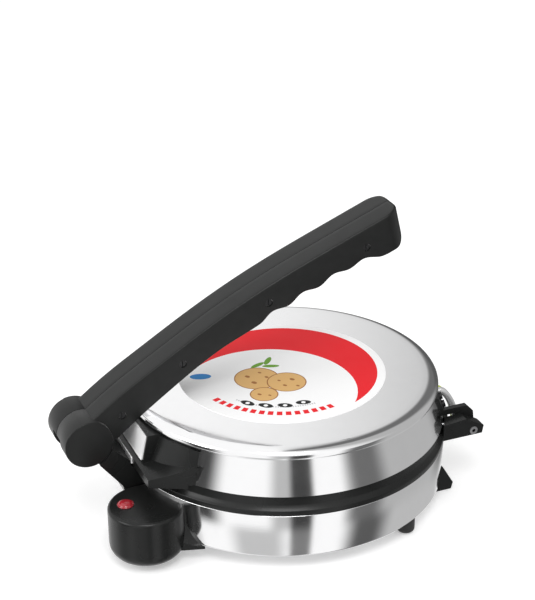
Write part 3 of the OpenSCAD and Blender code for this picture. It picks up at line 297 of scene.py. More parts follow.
class Shop:
    """Mesh operations that several sub-assemblies share. Sizes are in millimetres."""

    @staticmethod
    def outline(bm: Mesh, points: Sequence[Sequence[float]], closed: bool = True) -> tuple[list, list]:
        """Adds a line of vertices and edges.

        Args:
            bm: the mesh to add to.
            points: the line's points.
            closed: whether the last point joins the first.

        Returns:
            The new vertices and edges.
        """
        verts = [bm.verts.new(p) for p in points]
        pairs = list(zip(verts, verts[1:])) + ([(verts[-1], verts[0])] if closed else [])
        return verts, [bm.edges.new(pair) for pair in pairs]

    @staticmethod
    def lathe(profile: Sequence[Point], steps: int = 192, closed: bool = True) -> Mesh:
        """Spins a profile of (radius, height) points about the Z axis.

        Args:
            profile: the profile's points.
            steps: number of steps round the axis.
            closed: whether the profile closes on itself.

        Returns:
            The closed body of revolution.
        """
        bm = bmesh.new()
        verts, edges = Shop.outline(bm, [(r, 0, z) for r, z in profile], closed)
        bmesh.ops.spin(
            bm, geom=verts + edges, cent=(0, 0, 0), axis=(0, 0, 1), angle=math.tau, steps=steps,
            use_merge=True,
        )
        bmesh.ops.remove_doubles(bm, verts=bm.verts, dist=1e-4)
        bmesh.ops.recalc_face_normals(bm, faces=bm.faces)
        return bm

    @staticmethod
    def prism(points: Sequence[Point], x0: float, x1: float) -> Mesh:
        """Makes a closed prism from an outline of (y, z) points, from x0 to x1."""
        bm = bmesh.new()
        verts, _ = Shop.outline(bm, [(x0, y, z) for y, z in points])
        face = bm.faces.new(verts)
        grown = bmesh.ops.extrude_face_region(bm, geom=[face])
        moved = [g for g in grown["geom"] if isinstance(g, bmesh.types.BMVert)]
        bmesh.ops.translate(bm, verts=moved, vec=(x1 - x0, 0, 0))
        bmesh.ops.recalc_face_normals(bm, faces=bm.faces)
        return bm

    @staticmethod
    def rod(radius: float, length: float, place: Matrix, sides: int = 48) -> Mesh:
        """Makes a closed round rod along its own Z axis, then places it."""
        bm = bmesh.new()
        bmesh.ops.create_cone(
            bm, cap_ends=True, segments=sides, radius1=radius, radius2=radius, depth=length, matrix=place,
        )
        return bm

    @staticmethod
    def arc(cy: float, cz: float, r: float, start: float, end: float, count: int = 8) -> list[Point]:
        """Points of an arc about (cy, cz), with its angles in degrees."""
        steps = [math.radians(start + (end - start) * i / count) for i in range(count + 1)]
        return [(cy + r * math.cos(a), cz + r * math.sin(a)) for a in steps]

    @staticmethod
    def round_edges(bm: Mesh, width: float, segments: int = 3, sharper: float = 30.0) -> None:
        """Rounds every edge that is sharper than an angle in degrees."""
        limit = math.radians(sharper)
        edges = [e for e in bm.edges if len(e.link_faces) == 2 and e.calc_face_angle(0) > limit]
        bmesh.ops.bevel(
            bm, geom=edges, offset=width, offset_type="OFFSET", affect="EDGES", segments=segments,
            profile=0.5, material=-1, clamp_overlap=True, loop_slide=True,
        )

    @staticmethod
    def join(target: Mesh, *others: Mesh) -> Mesh:
        """Adds other meshes to the target, and frees them."""
        for other in others:
            spare = bpy.data.meshes.new("spare")
            other.to_mesh(spare)
            target.from_mesh(spare)
            bpy.data.meshes.remove(spare)
            other.free()
        return target

    @staticmethod
    def mirrored(bm: Mesh) -> Mesh:
        """A copy mirrored in the centre plane x = 0, with its faces outwards."""
        copy = bm.copy()
        bmesh.ops.scale(copy, vec=(-1, 1, 1), verts=copy.verts)
        bmesh.ops.reverse_faces(copy, faces=copy.faces)
        return copy

    @staticmethod
    def cut(bm: Mesh, cutter: Mesh) -> Mesh:
        """Takes one closed mesh away from another.

        Args:
            bm: the mesh to cut, which is freed.
            cutter: the mesh to take away, which is freed.

        Returns:
            What is left.
        """
        made = []
        for name, source in (("cut_body", bm), ("cut_tool", cutter)):
            mesh = bpy.data.meshes.new(name)
            source.to_mesh(mesh)
            source.free()
            obj = bpy.data.objects.new(name, mesh)
            bpy.context.scene.collection.objects.link(obj)
            made.append(obj)
        body, tool = made
        change = body.modifiers.new("cut", "BOOLEAN")
        change.operation = "DIFFERENCE"
        change.solver = "EXACT"
        change.object = tool
        shown = body.evaluated_get(bpy.context.evaluated_depsgraph_get())
        result = bmesh.new()
        result.from_mesh(shown.to_mesh())
        shown.to_mesh_clear()
        for obj in made:
            mesh = obj.data
            bpy.data.objects.remove(obj)
            bpy.data.meshes.remove(mesh)
        return result

    @staticmethod
    def tube(path: Sequence[Sequence[float]], radius: float, sides: int = 24) -> Mesh:
        """Sweeps a circle along a path of 3-D points, with capped ends."""
        bm = bmesh.new()
        points = [Vector(p) for p in path]
        ring: list = []
        for i, point in enumerate(points):
            ahead = points[min(i + 1, len(points) - 1)] - points[max(i - 1, 0)]
            turn = ahead.to_track_quat("Z", "X").to_matrix().to_4x4()
            place = Matrix.Translation(point) @ turn
            if not ring:
                made = bmesh.ops.create_circle(bm, cap_ends=True, segments=sides, radius=radius, matrix=place)
                ring = made["verts"]
                edges = list({e for v in ring for e in v.link_edges})
                last = place
                continue
            grown = bmesh.ops.extrude_edge_only(bm, edges=edges)["geom"]
            ring = [g for g in grown if isinstance(g, bmesh.types.BMVert)]
            edges = [g for g in grown if isinstance(g, bmesh.types.BMEdge)]
            bmesh.ops.transform(bm, matrix=place @ last.inverted(), verts=ring)
            last = place
        bmesh.ops.edgeloop_fill(bm, edges=edges)
        bmesh.ops.recalc_face_normals(bm, faces=bm.faces)
        return bm

    @staticmethod
    def finish(
        name: str, bm: Mesh, finish: "Finish | Material", body: Optional[Body], slot: Slot,
        replaces: Sequence[str] = (), smooth: float = 32.0, scale: float = MM,
    ) -> bpy.types.Object:
        """Turns a mesh into a named piece of the model.

        Args:
            name: the piece's name.
            bm: its mesh, which is freed.
            finish: its finish or material.
            body: the body that it moves with, or None where it is bent between two.
            slot: the record's slot of its finish.
            replaces: the nodes that it stands for.
            smooth: edges sharper than this many degrees stay sharp.
            scale: from the mesh's units to metres.

        Returns:
            The new object.
        """
        bmesh.ops.scale(bm, vec=(scale, scale, scale), verts=bm.verts)
        mesh = bpy.data.meshes.new(name)
        bm.to_mesh(mesh)
        bm.free()
        mesh.polygons.foreach_set("use_smooth", [True] * len(mesh.polygons))
        mesh.set_sharp_from_angle(angle=math.radians(smooth))
        mesh.materials.append(finish.material() if isinstance(finish, Finish) else finish)
        obj = bpy.data.objects.new(name, mesh)
        bpy.context.scene.collection.objects.link(obj)
        if body is not None:
            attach(obj, body.value)
        if replaces:
            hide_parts(*replaces)
        LOG.info("%s: %d faces", name, len(mesh.polygons))
        return obj

    @staticmethod
    def rounded_node(
        node: str, finish: Finish, body: Body, slot: Slot, width: float = 0.5,
    ) -> bpy.types.Object:
        """Makes a rounded piece from a merged copy of a node, and puts it in the node's place.

        Args:
            node: the node's name.
            finish: the piece's finish.
            body: the body that it moves with.
            slot: the record's slot of its finish; not used.
            width: width of the rounding, in millimetres.

        Returns:
            The new object.
        """
        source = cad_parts[node]
        bm = bmesh.new()
        bm.from_mesh(source.data)
        bmesh.ops.transform(bm, matrix=Matrix.Scale(1 / MM, 4) @ source.matrix_world, verts=bm.verts)
        bmesh.ops.remove_doubles(bm, verts=bm.verts, dist=0.002)
        bmesh.ops.dissolve_degenerate(bm, edges=bm.edges, dist=0.01)
        bmesh.ops.dissolve_limit(bm, angle_limit=math.radians(1.0), verts=bm.verts, edges=bm.edges)
        Shop.round_edges(bm, width)
        obj = Shop.finish(node + "_round", bm, finish, body, slot, replaces=[node])
        even = obj.modifiers.new("even_shading", "WEIGHTED_NORMAL")
        even.keep_sharp = True
        return obj


def blend_step(s: float, a: float, b: float) -> float:
    """Smooth change from 0 to 1 between a and b."""
    t = min(max((s - a) / (b - a), 0.0), 1.0)
    return t * t * (3 - 2 * t)


# The drum


@dataclass
class SteelDrum:
    """The polished base and lid shells with the black ring between them."""

    base_low: Point = (113.6, 11.0)
    corner: float = 1.6
    base_high: Point = (114.8, 43.4)
    ring_top: float = 56.4
    ring_step: float = 3.0
    lid_low: Point = (113.5, 57.0)
    lid_neck: Point = (104.3, 81.6)
    rim_r: float = 109.5
    lid_top: float = 89.2
    flat_r: float = 101.5
    sheet: float = 0.8
    steps: int = 256

    def base_shell(self) -> None:
        """The base's wall with its rolled lower edge and the lip at its top."""
        (r0, z0), (r1, z1) = self.base_low, self.base_high
        t = self.sheet
        c = self.corner
        profile = [(r0 - 9, z0)] + Shop.arc(r0 - c, z0 + c, c, -90, 0)
        edge_r = 0.35
        lip = 3.5
        profile += Shop.arc(r1 - edge_r, z1 - edge_r, edge_r, 0, 90, 4)
        profile += [(r1 - lip, z1), (r1 - lip, z1 - t), (r1 - t - 0.3, z1 - t)]
        profile += Shop.arc(r0 - c, z0 + c, c - t, 0, -90) + [(r0 - 9, z0 + t)]
        wall = Shop.lathe(profile, self.steps)
        Shop.finish("base_wall", wall, POLISHED, Body.BASE, Slot.STEEL, ["base_shell"])

    def ring(self) -> None:
        """The black ring, with its rounded lower lip and the step above it."""
        r, z = self.base_high
        inner = self.base_high[0] - self.ring_step
        bore = 105.6
        profile = [(bore, z + 2), (inner - 0.9, z + 2), (inner - 0.9, z + 0.05)]
        profile += Shop.arc(r - 0.8, z + 0.85, 0.8, -90, 0, 4)
        profile += Shop.arc(r - 1.0, z + 3.2, 1.0, 0, 60, 4) + [(inner + 0.5, z + 6.4), (inner, z + 7.4)]
        profile += Shop.arc(inner - 0.8, self.ring_top - 0.8, 0.8, 0, 90, 4) + [(bore, self.ring_top)]
        band = Shop.lathe(profile, self.steps)
        Shop.finish("middle_ring", band, GLOSS_BLACK, Body.BASE, Slot.PLASTIC, ["base_ring"])

    def lid_shell(self) -> None:
        """The lid: its sloping wall, the rolled rim and the flat top, with the sheet's thickness."""
        (r0, z0), (r1, z1) = self.lid_low, self.lid_neck
        t, top = self.sheet, self.lid_top
        roll_r, roll_z = 2.2, z1 + 2.3
        rim = Shop.arc(self.rim_r - roll_r, roll_z, roll_r, -85, 12, 12)
        start_r, start_z = rim[-1]
        flat = self.flat_r
        shoulder = [
            (flat + (start_r - flat) * math.cos(a), start_z + (top - start_z) * math.sin(a))
            for a in (math.radians(5 + 5 * i) for i in range(18))
        ]
        outer = [(r0, z0 + 0.3), (r1, z1)] + rim + shoulder + [(flat - 4, top), (60, top), (0, top)]
        under = [(0, top - t), (flat - 4, top - t), (flat, top - t)]
        under += Shop.arc(self.rim_r - roll_r, roll_z, roll_r - t, 12, -85, 8)
        under += [(r1 - t, z1 + 0.4), (r0 - t, z0), (r0 - 0.3, z0)]
        lid = Shop.lathe(outer + under, self.steps)
        Shop.finish("lid_wall", lid, POLISHED, Body.LID, Slot.STEEL, ["lid_shell"])

    def build(self) -> None:
        """Builds the whole drum."""
        self.base_shell()
        self.ring()
        self.lid_shell()


# The label


class Ink(Enum):
    """Linear colours of the label's print."""

    WHITE = (0.96, 0.96, 0.96)
    RED = (0.82, 0.014, 0.022)
    BLUE = (0.03, 0.25, 0.62)
    BLACK = (0.015, 0.015, 0.015)
    TAN = (0.72, 0.44, 0.17)
    BROWN = (0.36, 0.15, 0.045)
    GREEN = (0.16, 0.36, 0.04)
    GREY = (0.55, 0.55, 0.56)


@dataclass
class LidLabel:
    """The round label, with a plain pattern of its own in the usual colours of such labels."""

    radius: float = 72.8
    thickness: float = 0.3
    top: float = 89.2
    breads: tuple[Place, ...] = ((3, -20, 15), (16, -3, 13), (26, -24, 9))
    spots: tuple[Place, ...] = (
        (-2, -25, 2.0), (4, -13, 1.6), (8, -24, 2.2), (-4, -15, 1.4), (14, 2, 2.0), (20, -6, 1.6),
        (12, -7, 1.3), (24, 2, 1.4), (25, -27, 1.6), (29, -21, 1.2),
    )
    leaves: tuple[Place, ...] = ((-15, -12, 110), (-10, -4, 70), (-18, -3, 140))
    bars: tuple[Place, ...] = ((47, -4, 75), (46, -17, 60), (41, -29, 47), (33, -39, 34))
    tree: Optional[Tree] = None
    where: Optional[Socket] = None
    colour: Optional[Socket] = None

    def _math(self, operation: str, a: float | Socket, b: float | Socket = 0.0) -> Socket:
        """One Math node of the label's material."""
        return math_node(self.tree, operation, a, b)

    def _disc(self, x: float, y: float, r: float, squash: float = 1.0, turn: float = 0.0) -> Socket:
        """Mask of a disc or ellipse at x, y in millimetres, turned by an angle in degrees."""
        mapping = self.tree.nodes.new("ShaderNodeMapping")
        mapping.vector_type = "TEXTURE"
        mapping.inputs["Location"].default_value = (x * MM, y * MM, 0)
        mapping.inputs["Rotation"].default_value = (0, 0, math.radians(turn))
        mapping.inputs["Scale"].default_value = (r * MM, r * MM * squash, 1)
        self.tree.links.new(self.where, mapping.inputs["Vector"])
        flat = self.tree.nodes.new("ShaderNodeVectorMath")
        flat.operation = "MULTIPLY"
        flat.inputs[1].default_value = (1, 1, 0)
        self.tree.links.new(mapping.outputs["Vector"], flat.inputs[0])
        length = self.tree.nodes.new("ShaderNodeVectorMath")
        length.operation = "LENGTH"
        self.tree.links.new(flat.outputs[0], length.inputs[0])
        return self._math("LESS_THAN", length.outputs["Value"], 1.0)

    def _without(self, a: Socket, b: Socket) -> Socket:
        """What is in mask a and not in mask b."""
        return self._math("MAXIMUM", self._math("SUBTRACT", a, b), 0.0)

    def _dashes(self, low: float, high: float, start: float, end: float, count: int) -> Socket:
        """Mask of a row of dashes between two radii, over an arc in degrees."""
        ring = self._without(self._disc(0, 0, high), self._disc(0, 0, low))
        split = self.tree.nodes.new("ShaderNodeSeparateXYZ")
        self.tree.links.new(self.where, split.inputs[0])
        angle = self._math("ARCTAN2", split.outputs["Y"], split.outputs["X"])
        turned = self._math("SUBTRACT", angle, math.radians(start))
        along = self._math("DIVIDE", turned, math.radians(end - start))
        begun = self._math("GREATER_THAN", along, 0.0)
        inside = self._math("MULTIPLY", begun, self._math("LESS_THAN", along, 1.0))
        dash = self._math("LESS_THAN", self._math("FRACT", self._math("MULTIPLY", along, float(count))), 0.62)
        return self._math("MULTIPLY", ring, self._math("MULTIPLY", inside, dash))

    def _print(self, mask: Socket, ink: Ink) -> None:
        """Prints an ink over what is there."""
        under = self.colour or (*Ink.WHITE.value, 1)
        self.colour = mix_node(self.tree, mask, under, (*ink.value, 1))

    def material(self) -> Material:
        """The label's print: a red crescent, flatbreads, leaves and rows of dashes on white."""
        mat = bpy.data.materials.new("label_print")
        mat.use_nodes = True
        self.tree = mat.node_tree
        shader = self.tree.nodes["Principled BSDF"]
        shader.inputs["Specular IOR Level"].default_value = 0.1
        self.where = self.tree.nodes.new("ShaderNodeTexCoord").outputs["Object"]
        self._print(self._without(self._disc(0, 0, 67), self._disc(22, -19, 61)), Ink.RED)
        self._print(self._dashes(57.5, 62.5, -72, 14, 15), Ink.RED)
        self._print(self._dashes(50.5, 52.0, -60, 4, 34), Ink.GREY)
        for x, y, r in self.breads:
            self._print(self._disc(x, y, r + 0.8), Ink.BROWN)
            self._print(self._disc(x, y, r), Ink.TAN)
        for x, y, r in self.spots:
            self._print(self._disc(x, y, r, 0.7, 30), Ink.BROWN)
        for x, y, turn in self.leaves:
            self._print(self._disc(x, y, 6.0, 0.34, turn), Ink.GREEN)
        for x, y, turn in self.bars:
            self._print(self._disc(x, y, 5.2, 0.55, turn), Ink.BLACK)
            self._print(self._disc(x, y, 1.5, 1.0, turn), Ink.WHITE)
        self._print(self._disc(-15, -55, 7.5, 0.55, 70), Ink.BLUE)
        self.tree.links.new(self.colour, shader.inputs["Base Color"])
        haze = self.tree.nodes.new("ShaderNodeGroup")
        haze.node_tree = HAZE.build()
        haze.inputs["Scale"].default_value = 60.0
        haze.inputs["Low"].default_value = 0.3
        haze.inputs["High"].default_value = 0.42
        self.tree.links.new(self.where, haze.inputs["Vector"])
        self.tree.links.new(haze.outputs["Value"], shader.inputs["Roughness"])
        return mat

    def build(self) -> None:
        """Builds the label as a thin disc with a softly cut edge."""
        r, z, t = self.radius, self.top, self.thickness
        profile = [(0, z), (r, z), (r, z + t * 0.6), (r - 0.15, z + t), (r - 20, z + t), (0, z + t)]
        disc = Shop.lathe(profile, closed=False)
        Shop.finish("round_label", disc, self.material(), Body.LID, Slot.PRINT, ["lid_label"])


# The handle


@dataclass
class LeverHandle:
    """The long handle in two moulded halves, with its hub, finger hollows and screw recesses."""

    hub: Point = (-147.5, 75.0)
    hub_r: float = 16.8
    hub_half: float = 21.0
    hub_round: float = 0.9
    start: Point = (2.9, 15.1)
    length: float = 255.0
    half: float = 17.0
    crown: float = 0.2
    ridge: float = 1.4
    under: float = 1.1
    seam: float = 0.1
    seam_round: float = 0.45
    tip_plan: float = 13.0
    tip_top: float = 3.5
    tip_low: float = 9.0
    tongue_half: float = 8.0
    tongue_angle: float = -41.3
    tongue_side: float = 5.0
    swing: float = 125.0
    recesses: tuple[Point, ...] = ((-122.6, 90.1), (-78.6, 119.7), (-16.0, 153.0), (56.2, 180.7))
    recess_r: float = 2.8
    recess_deep: float = 6.0
    spine: list[Point] = field(default_factory=list)

    def slope(self, s: float) -> float:
        """Slope of the upper face at a distance along it, in radians."""
        at_hub, middle, at_tip = 37.3, 30.9, 21.8
        first = (middle - at_hub) * blend_step(s, 0, 45)
        second = (at_tip - middle) * blend_step(s, 60, 200)
        return math.radians(at_hub + first + second)

    def depth(self, s: float) -> float:
        """Depth of the handle at a distance along its upper face."""
        plain, near_hub, at_grip, at_tip = 20.4, 4, 1.9, 5
        grip_start, finger_pitch, fingers, finger_deep = 131, 25, 4, 3
        deep = plain + near_hub * (1 - blend_step(s, 0, 90))
        deep += at_grip * blend_step(s, 95, grip_start) + at_tip * blend_step(s, 206, 237.25)
        if grip_start < s < grip_start + fingers * finger_pitch:
            deep -= finger_deep * (1 - math.cos((s - grip_start) * math.tau / finger_pitch)) / 2
        return deep if s >= 0 else deep + 0.9 * s

    def point(self, s: float) -> Vector:
        """The point of the spine at a distance along it."""
        if not self.spine:
            y, z = self.hub[0] + self.start[0], self.hub[1] + self.start[1]
            for i in range(int(self.length) + 3):
                self.spine.append((y, z))
                a = self.slope(max(i - 1, 0))
                y, z = y + math.cos(a), z + math.sin(a)
        if s < 0:
            y, z = self.spine[0]
            return Vector((0, y + s * math.cos(self.slope(0)), z + s * math.sin(self.slope(0))))
        i = min(int(s), len(self.spine) - 2)
        f = s - i
        return Vector((0, *(a + (b - a) * f for a, b in zip(self.spine[i], self.spine[i + 1]))))

    def section(self, s: float) -> list[Vector]:
        """Points round the right half's section at a distance along the handle."""
        left = self.length - s
        w, top, low = self.half, 0.0, self.depth(s)
        if left < self.tip_plan:
            w -= self.tip_plan - math.sqrt(max(self.tip_plan**2 - (self.tip_plan - left) ** 2, 0))
        if left < self.tip_top:
            top = self.tip_top - math.sqrt(max(self.tip_top**2 - (self.tip_top - left) ** 2, 0))
        if left < self.tip_low:
            low -= self.tip_low - math.sqrt(max(self.tip_low**2 - (self.tip_low - left) ** 2, 0))
        g, x0, r, u = self.seam_round, self.seam, self.ridge, self.under
        pts: list[Point] = [(x0, top + g), (x0 + 0.15 * g, top + 0.35 * g), (x0 + 0.5 * g, top + 0.08 * g)]
        for i in range(6):
            x = x0 + g + (w - r - x0 - g) * i / 5
            pts.append((x, top + self.crown * (x / self.half) ** 2))
        edge = pts[-1][1]
        quarter = [math.pi / 12 * k for k in range(7)]
        pts += [(w - r + r * math.sin(a), edge + r - r * math.cos(a)) for a in quarter[1:]]
        pts += [(w, edge + r + (low - u - edge - r) * f) for f in (0.33, 0.66)]
        pts += [(w - u + u * math.cos(a), low - u + u * math.sin(a)) for a in quarter]
        pts += [(x0 + g + (w - u - x0 - g) * f, low) for f in (0.5, 0.0)] + [(x0, low - g)]
        slope = self.slope(s)
        along = Vector((0, math.cos(slope), math.sin(slope)))
        down = Vector((0, math.sin(slope), -math.cos(slope)))
        lean = math.tan(math.radians(9.0)) * blend_step(s, self.length - 26, self.length)
        at = self.point(s)
        return [at + Vector((x, 0, 0)) + down * d - along * (lean * max(d - 3, 0)) for x, d in pts]

    def stations(self) -> list[float]:
        """Distances along the handle at which its section is placed, close together at the tip."""
        plain = [-12.0 + 2 * i for i in range(int((self.length - self.tip_plan + 12) / 2) + 1)]
        curl = [self.length - self.tip_plan * (1 - math.sin(math.pi / 2 * k / 14)) for k in range(15)]
        return [s for s in plain if s < curl[0] - 0.5] + curl

    def arm(self) -> Mesh:
        """The right half of the arm, drawn out section by section from the hub to the tip."""
        bm = bmesh.new()
        places = self.stations()
        verts, edges = Shop.outline(bm, self.section(places[0]))
        bm.faces.new(verts)
        for s in places[1:]:
            grown = bmesh.ops.extrude_edge_only(bm, edges=edges)["geom"]
            ring = [g for g in grown if isinstance(g, bmesh.types.BMVert)]
            edges = [g for g in grown if isinstance(g, bmesh.types.BMEdge)]
            by_old = {}
            for vert in ring:
                old = next(e.other_vert(vert) for e in vert.link_edges if e.other_vert(vert) not in ring)
                by_old[old] = vert
            new = [by_old[v] for v in verts]
            for vert, place in zip(new, self.section(s)):
                vert.co = place
            verts = new
            edges = [bm.edges.get((a, b)) for a, b in zip(verts, verts[1:] + verts[:1])]
        bm.faces.new(verts)
        bmesh.ops.remove_doubles(bm, verts=bm.verts, dist=1e-3)
        bmesh.ops.recalc_face_normals(bm, faces=bm.faces)
        return bm

    def hub_body(self) -> Mesh:
        """The right half of the hub, with a rounded end and a raised cover towards the arm."""
        r = self.hub_r
        ring = [(self.seam, 0.0), (self.seam, r - 0.5), (self.seam + 0.15, r - 0.15), (self.seam + 0.5, r)]
        c = self.hub_round
        quarter = [math.pi / 10 * k for k in range(6)]
        ring += [(self.hub_half - c + c * math.sin(a), r - c + c * math.cos(a)) for a in quarter]
        ring += [(self.hub_half, 0.0)]
        bm = bmesh.new()
        verts, edges = Shop.outline(bm, [(x, 0, h) for x, h in ring], closed=False)
        bmesh.ops.spin(
            bm, geom=verts + edges, cent=(0, 0, 0), axis=(1, 0, 0), angle=math.tau, steps=120, use_merge=True,
        )
        bmesh.ops.remove_doubles(bm, verts=bm.verts, dist=1e-4)
        for vert in bm.verts:
            angle = math.degrees(math.atan2(vert.co.z, vert.co.y))
            if not -60 < angle < 107 and vert.co.yz.length > r - 1:
                vert.co.yz = vert.co.yz * ((r - 0.25) / r)
        bmesh.ops.translate(bm, verts=bm.verts, vec=(0, *self.hub))
        bmesh.ops.recalc_face_normals(bm, faces=bm.faces)
        return bm

    def slot_tool(self) -> Mesh:
        """What the tongue sweeps through as the handle turns, with its room."""
        hy, hz = self.hub
        far, h = self.hub_r + 12, self.tongue_side
        a0, a1 = math.radians(self.tongue_angle), math.radians(self.tongue_angle - self.swing)

        def at(angle: float, along: float, side: float) -> Point:
            y = hy + along * math.cos(angle) - side * math.sin(angle)
            z = hz + along * math.sin(angle) + side * math.cos(angle)
            return (y, z)

        pts = [at(a0, 0, h), at(a0, far, h)] + [at(a0 + (a1 - a0) * k / 10, far, 0) for k in range(1, 10)]
        pts += [at(a1, far, -h), at(a1, 0, -h)]
        return Shop.prism(pts, -1, self.tongue_half)

    def recess_tool(self) -> Mesh:
        """The four screw recesses in the right side."""
        tool = bmesh.new()
        for y, z in self.recesses:
            place = Matrix.Translation((self.half, y, z)) @ Matrix.Rotation(math.pi / 2, 4, "Y")
            Shop.join(tool, Shop.rod(self.recess_r, self.recess_deep, place, 32))
        return tool

    def build(self) -> None:
        """Builds both halves. The polished lid doesn't mirror them."""
        arm = Shop.cut(self.arm(), self.slot_tool())
        hub = Shop.cut(self.hub_body(), self.slot_tool())
        left_arm = Shop.mirrored(arm)
        right = Shop.join(Shop.cut(arm, self.recess_tool()), hub.copy())
        left = Shop.join(left_arm, Shop.mirrored(hub))
        hub.free()
        for name, bm in (("handle_right", right), ("handle_left", left)):
            obj = Shop.finish(name, bm, MOULDED, Body.HANDLE, Slot.PLASTIC, [name + "_half"], smooth=28)
            obj.visible_glossy = False


# Front fittings


@dataclass
class FrontFittings:
    """The lid's front bracket, the post under the hub, the lamp housing and their small pieces."""

    lens_at: Place = (46.0, -132.4, 40.0)
    lens_r: float = 5.6
    plate_low: Point = (-115.3, 62.5)
    plate_lean: float = 12.0
    plate_half: float = 33.0
    plate_tall: float = 18.0
    plate_thick: float = 0.8

    def lens(self) -> None:
        """The lamp's domed red lens with a thin collar."""
        r, h = self.lens_r, 2.2
        profile = [(0, 0), (r, 0), (r, 0.5), (r - 0.25, 0.8), (r - 0.7, 0.85)]
        dome_r, dome_z = r - 0.8, 0.85
        angles = [math.pi / 20 * k for k in range(1, 10)]
        profile += [(dome_r * math.cos(a), dome_z + (h - dome_z) * math.sin(a)) for a in angles]
        profile += [(0, h)]
        bm = Shop.lathe(profile, 64, closed=False)
        bmesh.ops.translate(bm, verts=bm.verts, vec=self.lens_at)
        Shop.finish("lamp_lens", bm, LENS, Body.BASE, Slot.LENS, ["indicator_lens"])

    def _is_corner(self, edge: bmesh.types.BMEdge) -> bool:
        """Whether an edge runs through the plate's thickness at its left or right end."""
        one, two = (v.co for v in edge.verts)
        at_end = min(abs(one.x), abs(two.x)) > self.plate_half - 0.01
        return at_end and abs(one.z - two.z) < 0.01 and abs(one.y - two.y) > self.plate_thick / 2

    def name_plate(self) -> None:
        """The bare front plate, with a narrow raised border."""
        bm = bmesh.new()
        w, h, t = self.plate_half, self.plate_tall, self.plate_thick
        verts, _ = Shop.outline(bm, [(-w, 0, 0), (w, 0, 0), (w, 0, h), (-w, 0, h)])
        face = bm.faces.new(verts)
        back = bmesh.ops.extrude_face_region(bm, geom=[face])
        moved = [g for g in back["geom"] if isinstance(g, bmesh.types.BMVert)]
        bmesh.ops.translate(bm, verts=moved, vec=(0, -t, 0))
        bmesh.ops.recalc_face_normals(bm, faces=bm.faces)
        front = [f for f in bm.faces if f.normal.y < -0.9]
        bmesh.ops.inset_region(bm, faces=front, thickness=0.9, depth=0)
        front = [f for f in bm.faces if f.normal.y < -0.9 and max(abs(v.co.x) for v in f.verts) < w - 0.5]
        bmesh.ops.inset_region(bm, faces=front, thickness=0.2, depth=-0.2)
        corners = [e for e in bm.edges if self._is_corner(e)]
        bmesh.ops.bevel(
            bm, geom=corners, offset=1.2, affect="EDGES", segments=5, profile=0.5, material=-1,
            clamp_overlap=True,
        )
        lean = Matrix.Rotation(math.radians(-self.plate_lean), 3, "X")
        bmesh.ops.rotate(bm, verts=bm.verts, cent=(0, 0, 0), matrix=lean)
        bmesh.ops.translate(bm, verts=bm.verts, vec=(0, *self.plate_low))
        Shop.finish("front_plate", bm, BARE_PLATE, Body.LID, Slot.PLATE, ["name_plate"])

    def build(self) -> None:
        """Builds the fittings."""
        self.lens()
        self.name_plate()
        Shop.rounded_node("lid_bracket", GLOSS_BLACK, Body.LID, Slot.PLASTIC, 0.5)
        Shop.rounded_node("front_post", GLOSS_BLACK, Body.BASE, Slot.PLASTIC, 0.6)
        Shop.rounded_node("front_housing", GLOSS_BLACK, Body.BASE, Slot.PLASTIC, 0.4)
        # The wear strip's near-white colour is a painted highlight in place of the steel's glare.
        Shop.rounded_node("wear_strip", PAINTED_GLARE_STRIP, Body.LID, Slot.HARDWARE, 0.15)
        Shop.rounded_node("cord_gland", RUBBER, Body.BASE, Slot.RUBBER, 0.5)


# Rear hinge and leads


@dataclass
class RearHinge:
    """The hinge ears and arms, and the conduit and earth wire that run curved from the base to the lid."""

    side: float = 15.33
    base_exit: Point = (114.33, 31.4)
    lid_exit: Point = (110.51, 65.0)
    base_lean: float = -2.23
    lean: float = 20.5
    base_bow: float = 19.0
    lid_bow: float = 6.0
    inside: float = 3.0
    lip: float = 2.0
    conduit_r: float = 2.5
    earth_r: float = 1.3
    conduit_off: float = 1.4
    earth_off: float = -3.6

    def path(self, off: float, bow: float) -> list[Vector]:
        """Points along a lead from inside the base to inside the lid.

        Args:
            off: the lead's place beside the bushings' centre.
            bow: how much further than usual its ends pull the curve outwards.

        Returns:
            The points.
        """
        turn = Matrix.Rotation(-math.radians(self.side), 3, "Z")
        base_lean, lid_lean = math.radians(self.base_lean), math.radians(self.lean)
        out_base = Vector((0, math.cos(base_lean), math.sin(base_lean)))
        out_lid = Vector((0, math.cos(lid_lean), math.sin(lid_lean)))
        low, high = Vector((off, *self.base_exit)), Vector((off, *self.lid_exit))
        a, d = low + out_base * (self.lip + 1), high + out_lid * (self.lip + 1)
        b, c = a + out_base * (self.base_bow + bow), d + out_lid * (self.lid_bow + bow)
        curve = [
            a * (1 - t) ** 3 + b * 3 * t * (1 - t) ** 2 + c * 3 * t * t * (1 - t) + d * t**3
            for t in (i / 36 for i in range(37))
        ]
        ends = [low - out_base * self.inside, low], [high, high - out_lid * self.inside]
        return [turn @ p for p in ends[0] + curve + ends[1]]

    def lead(
        self, name: str, radius: float, off: float, bow: float, finish: Finish, slot: Slot, node: str,
    ) -> None:
        """Builds one lead and bends it between the base and the lid."""
        points = self.path(off, bow)
        obj = Shop.finish(name, Shop.tube(points, radius), finish, None, slot)
        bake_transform(obj)
        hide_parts(node)

    def build(self) -> None:
        """Builds the hinge and the leads."""
        for body in (Body.BASE, Body.LID):
            for side in ("right", "left"):
                Shop.rounded_node(f"hinge_{body.value}_{side}", GLOSS_BLACK, body, Slot.PLASTIC, 0.6)
        for node, body in (("base_bushing", Body.BASE), ("lid_bushing", Body.LID)):
            Shop.rounded_node(node, RUBBER, body, Slot.RUBBER, 0.3)
        self.lead("silver_conduit", self.conduit_r, self.conduit_off, 0.0, BRAID, Slot.CONDUIT, "conduit")
        self.lead("earth_lead", self.earth_r, self.earth_off, -2.0, EARTH, Slot.EARTH, "earth_wire")


# What the drum holds and stands on


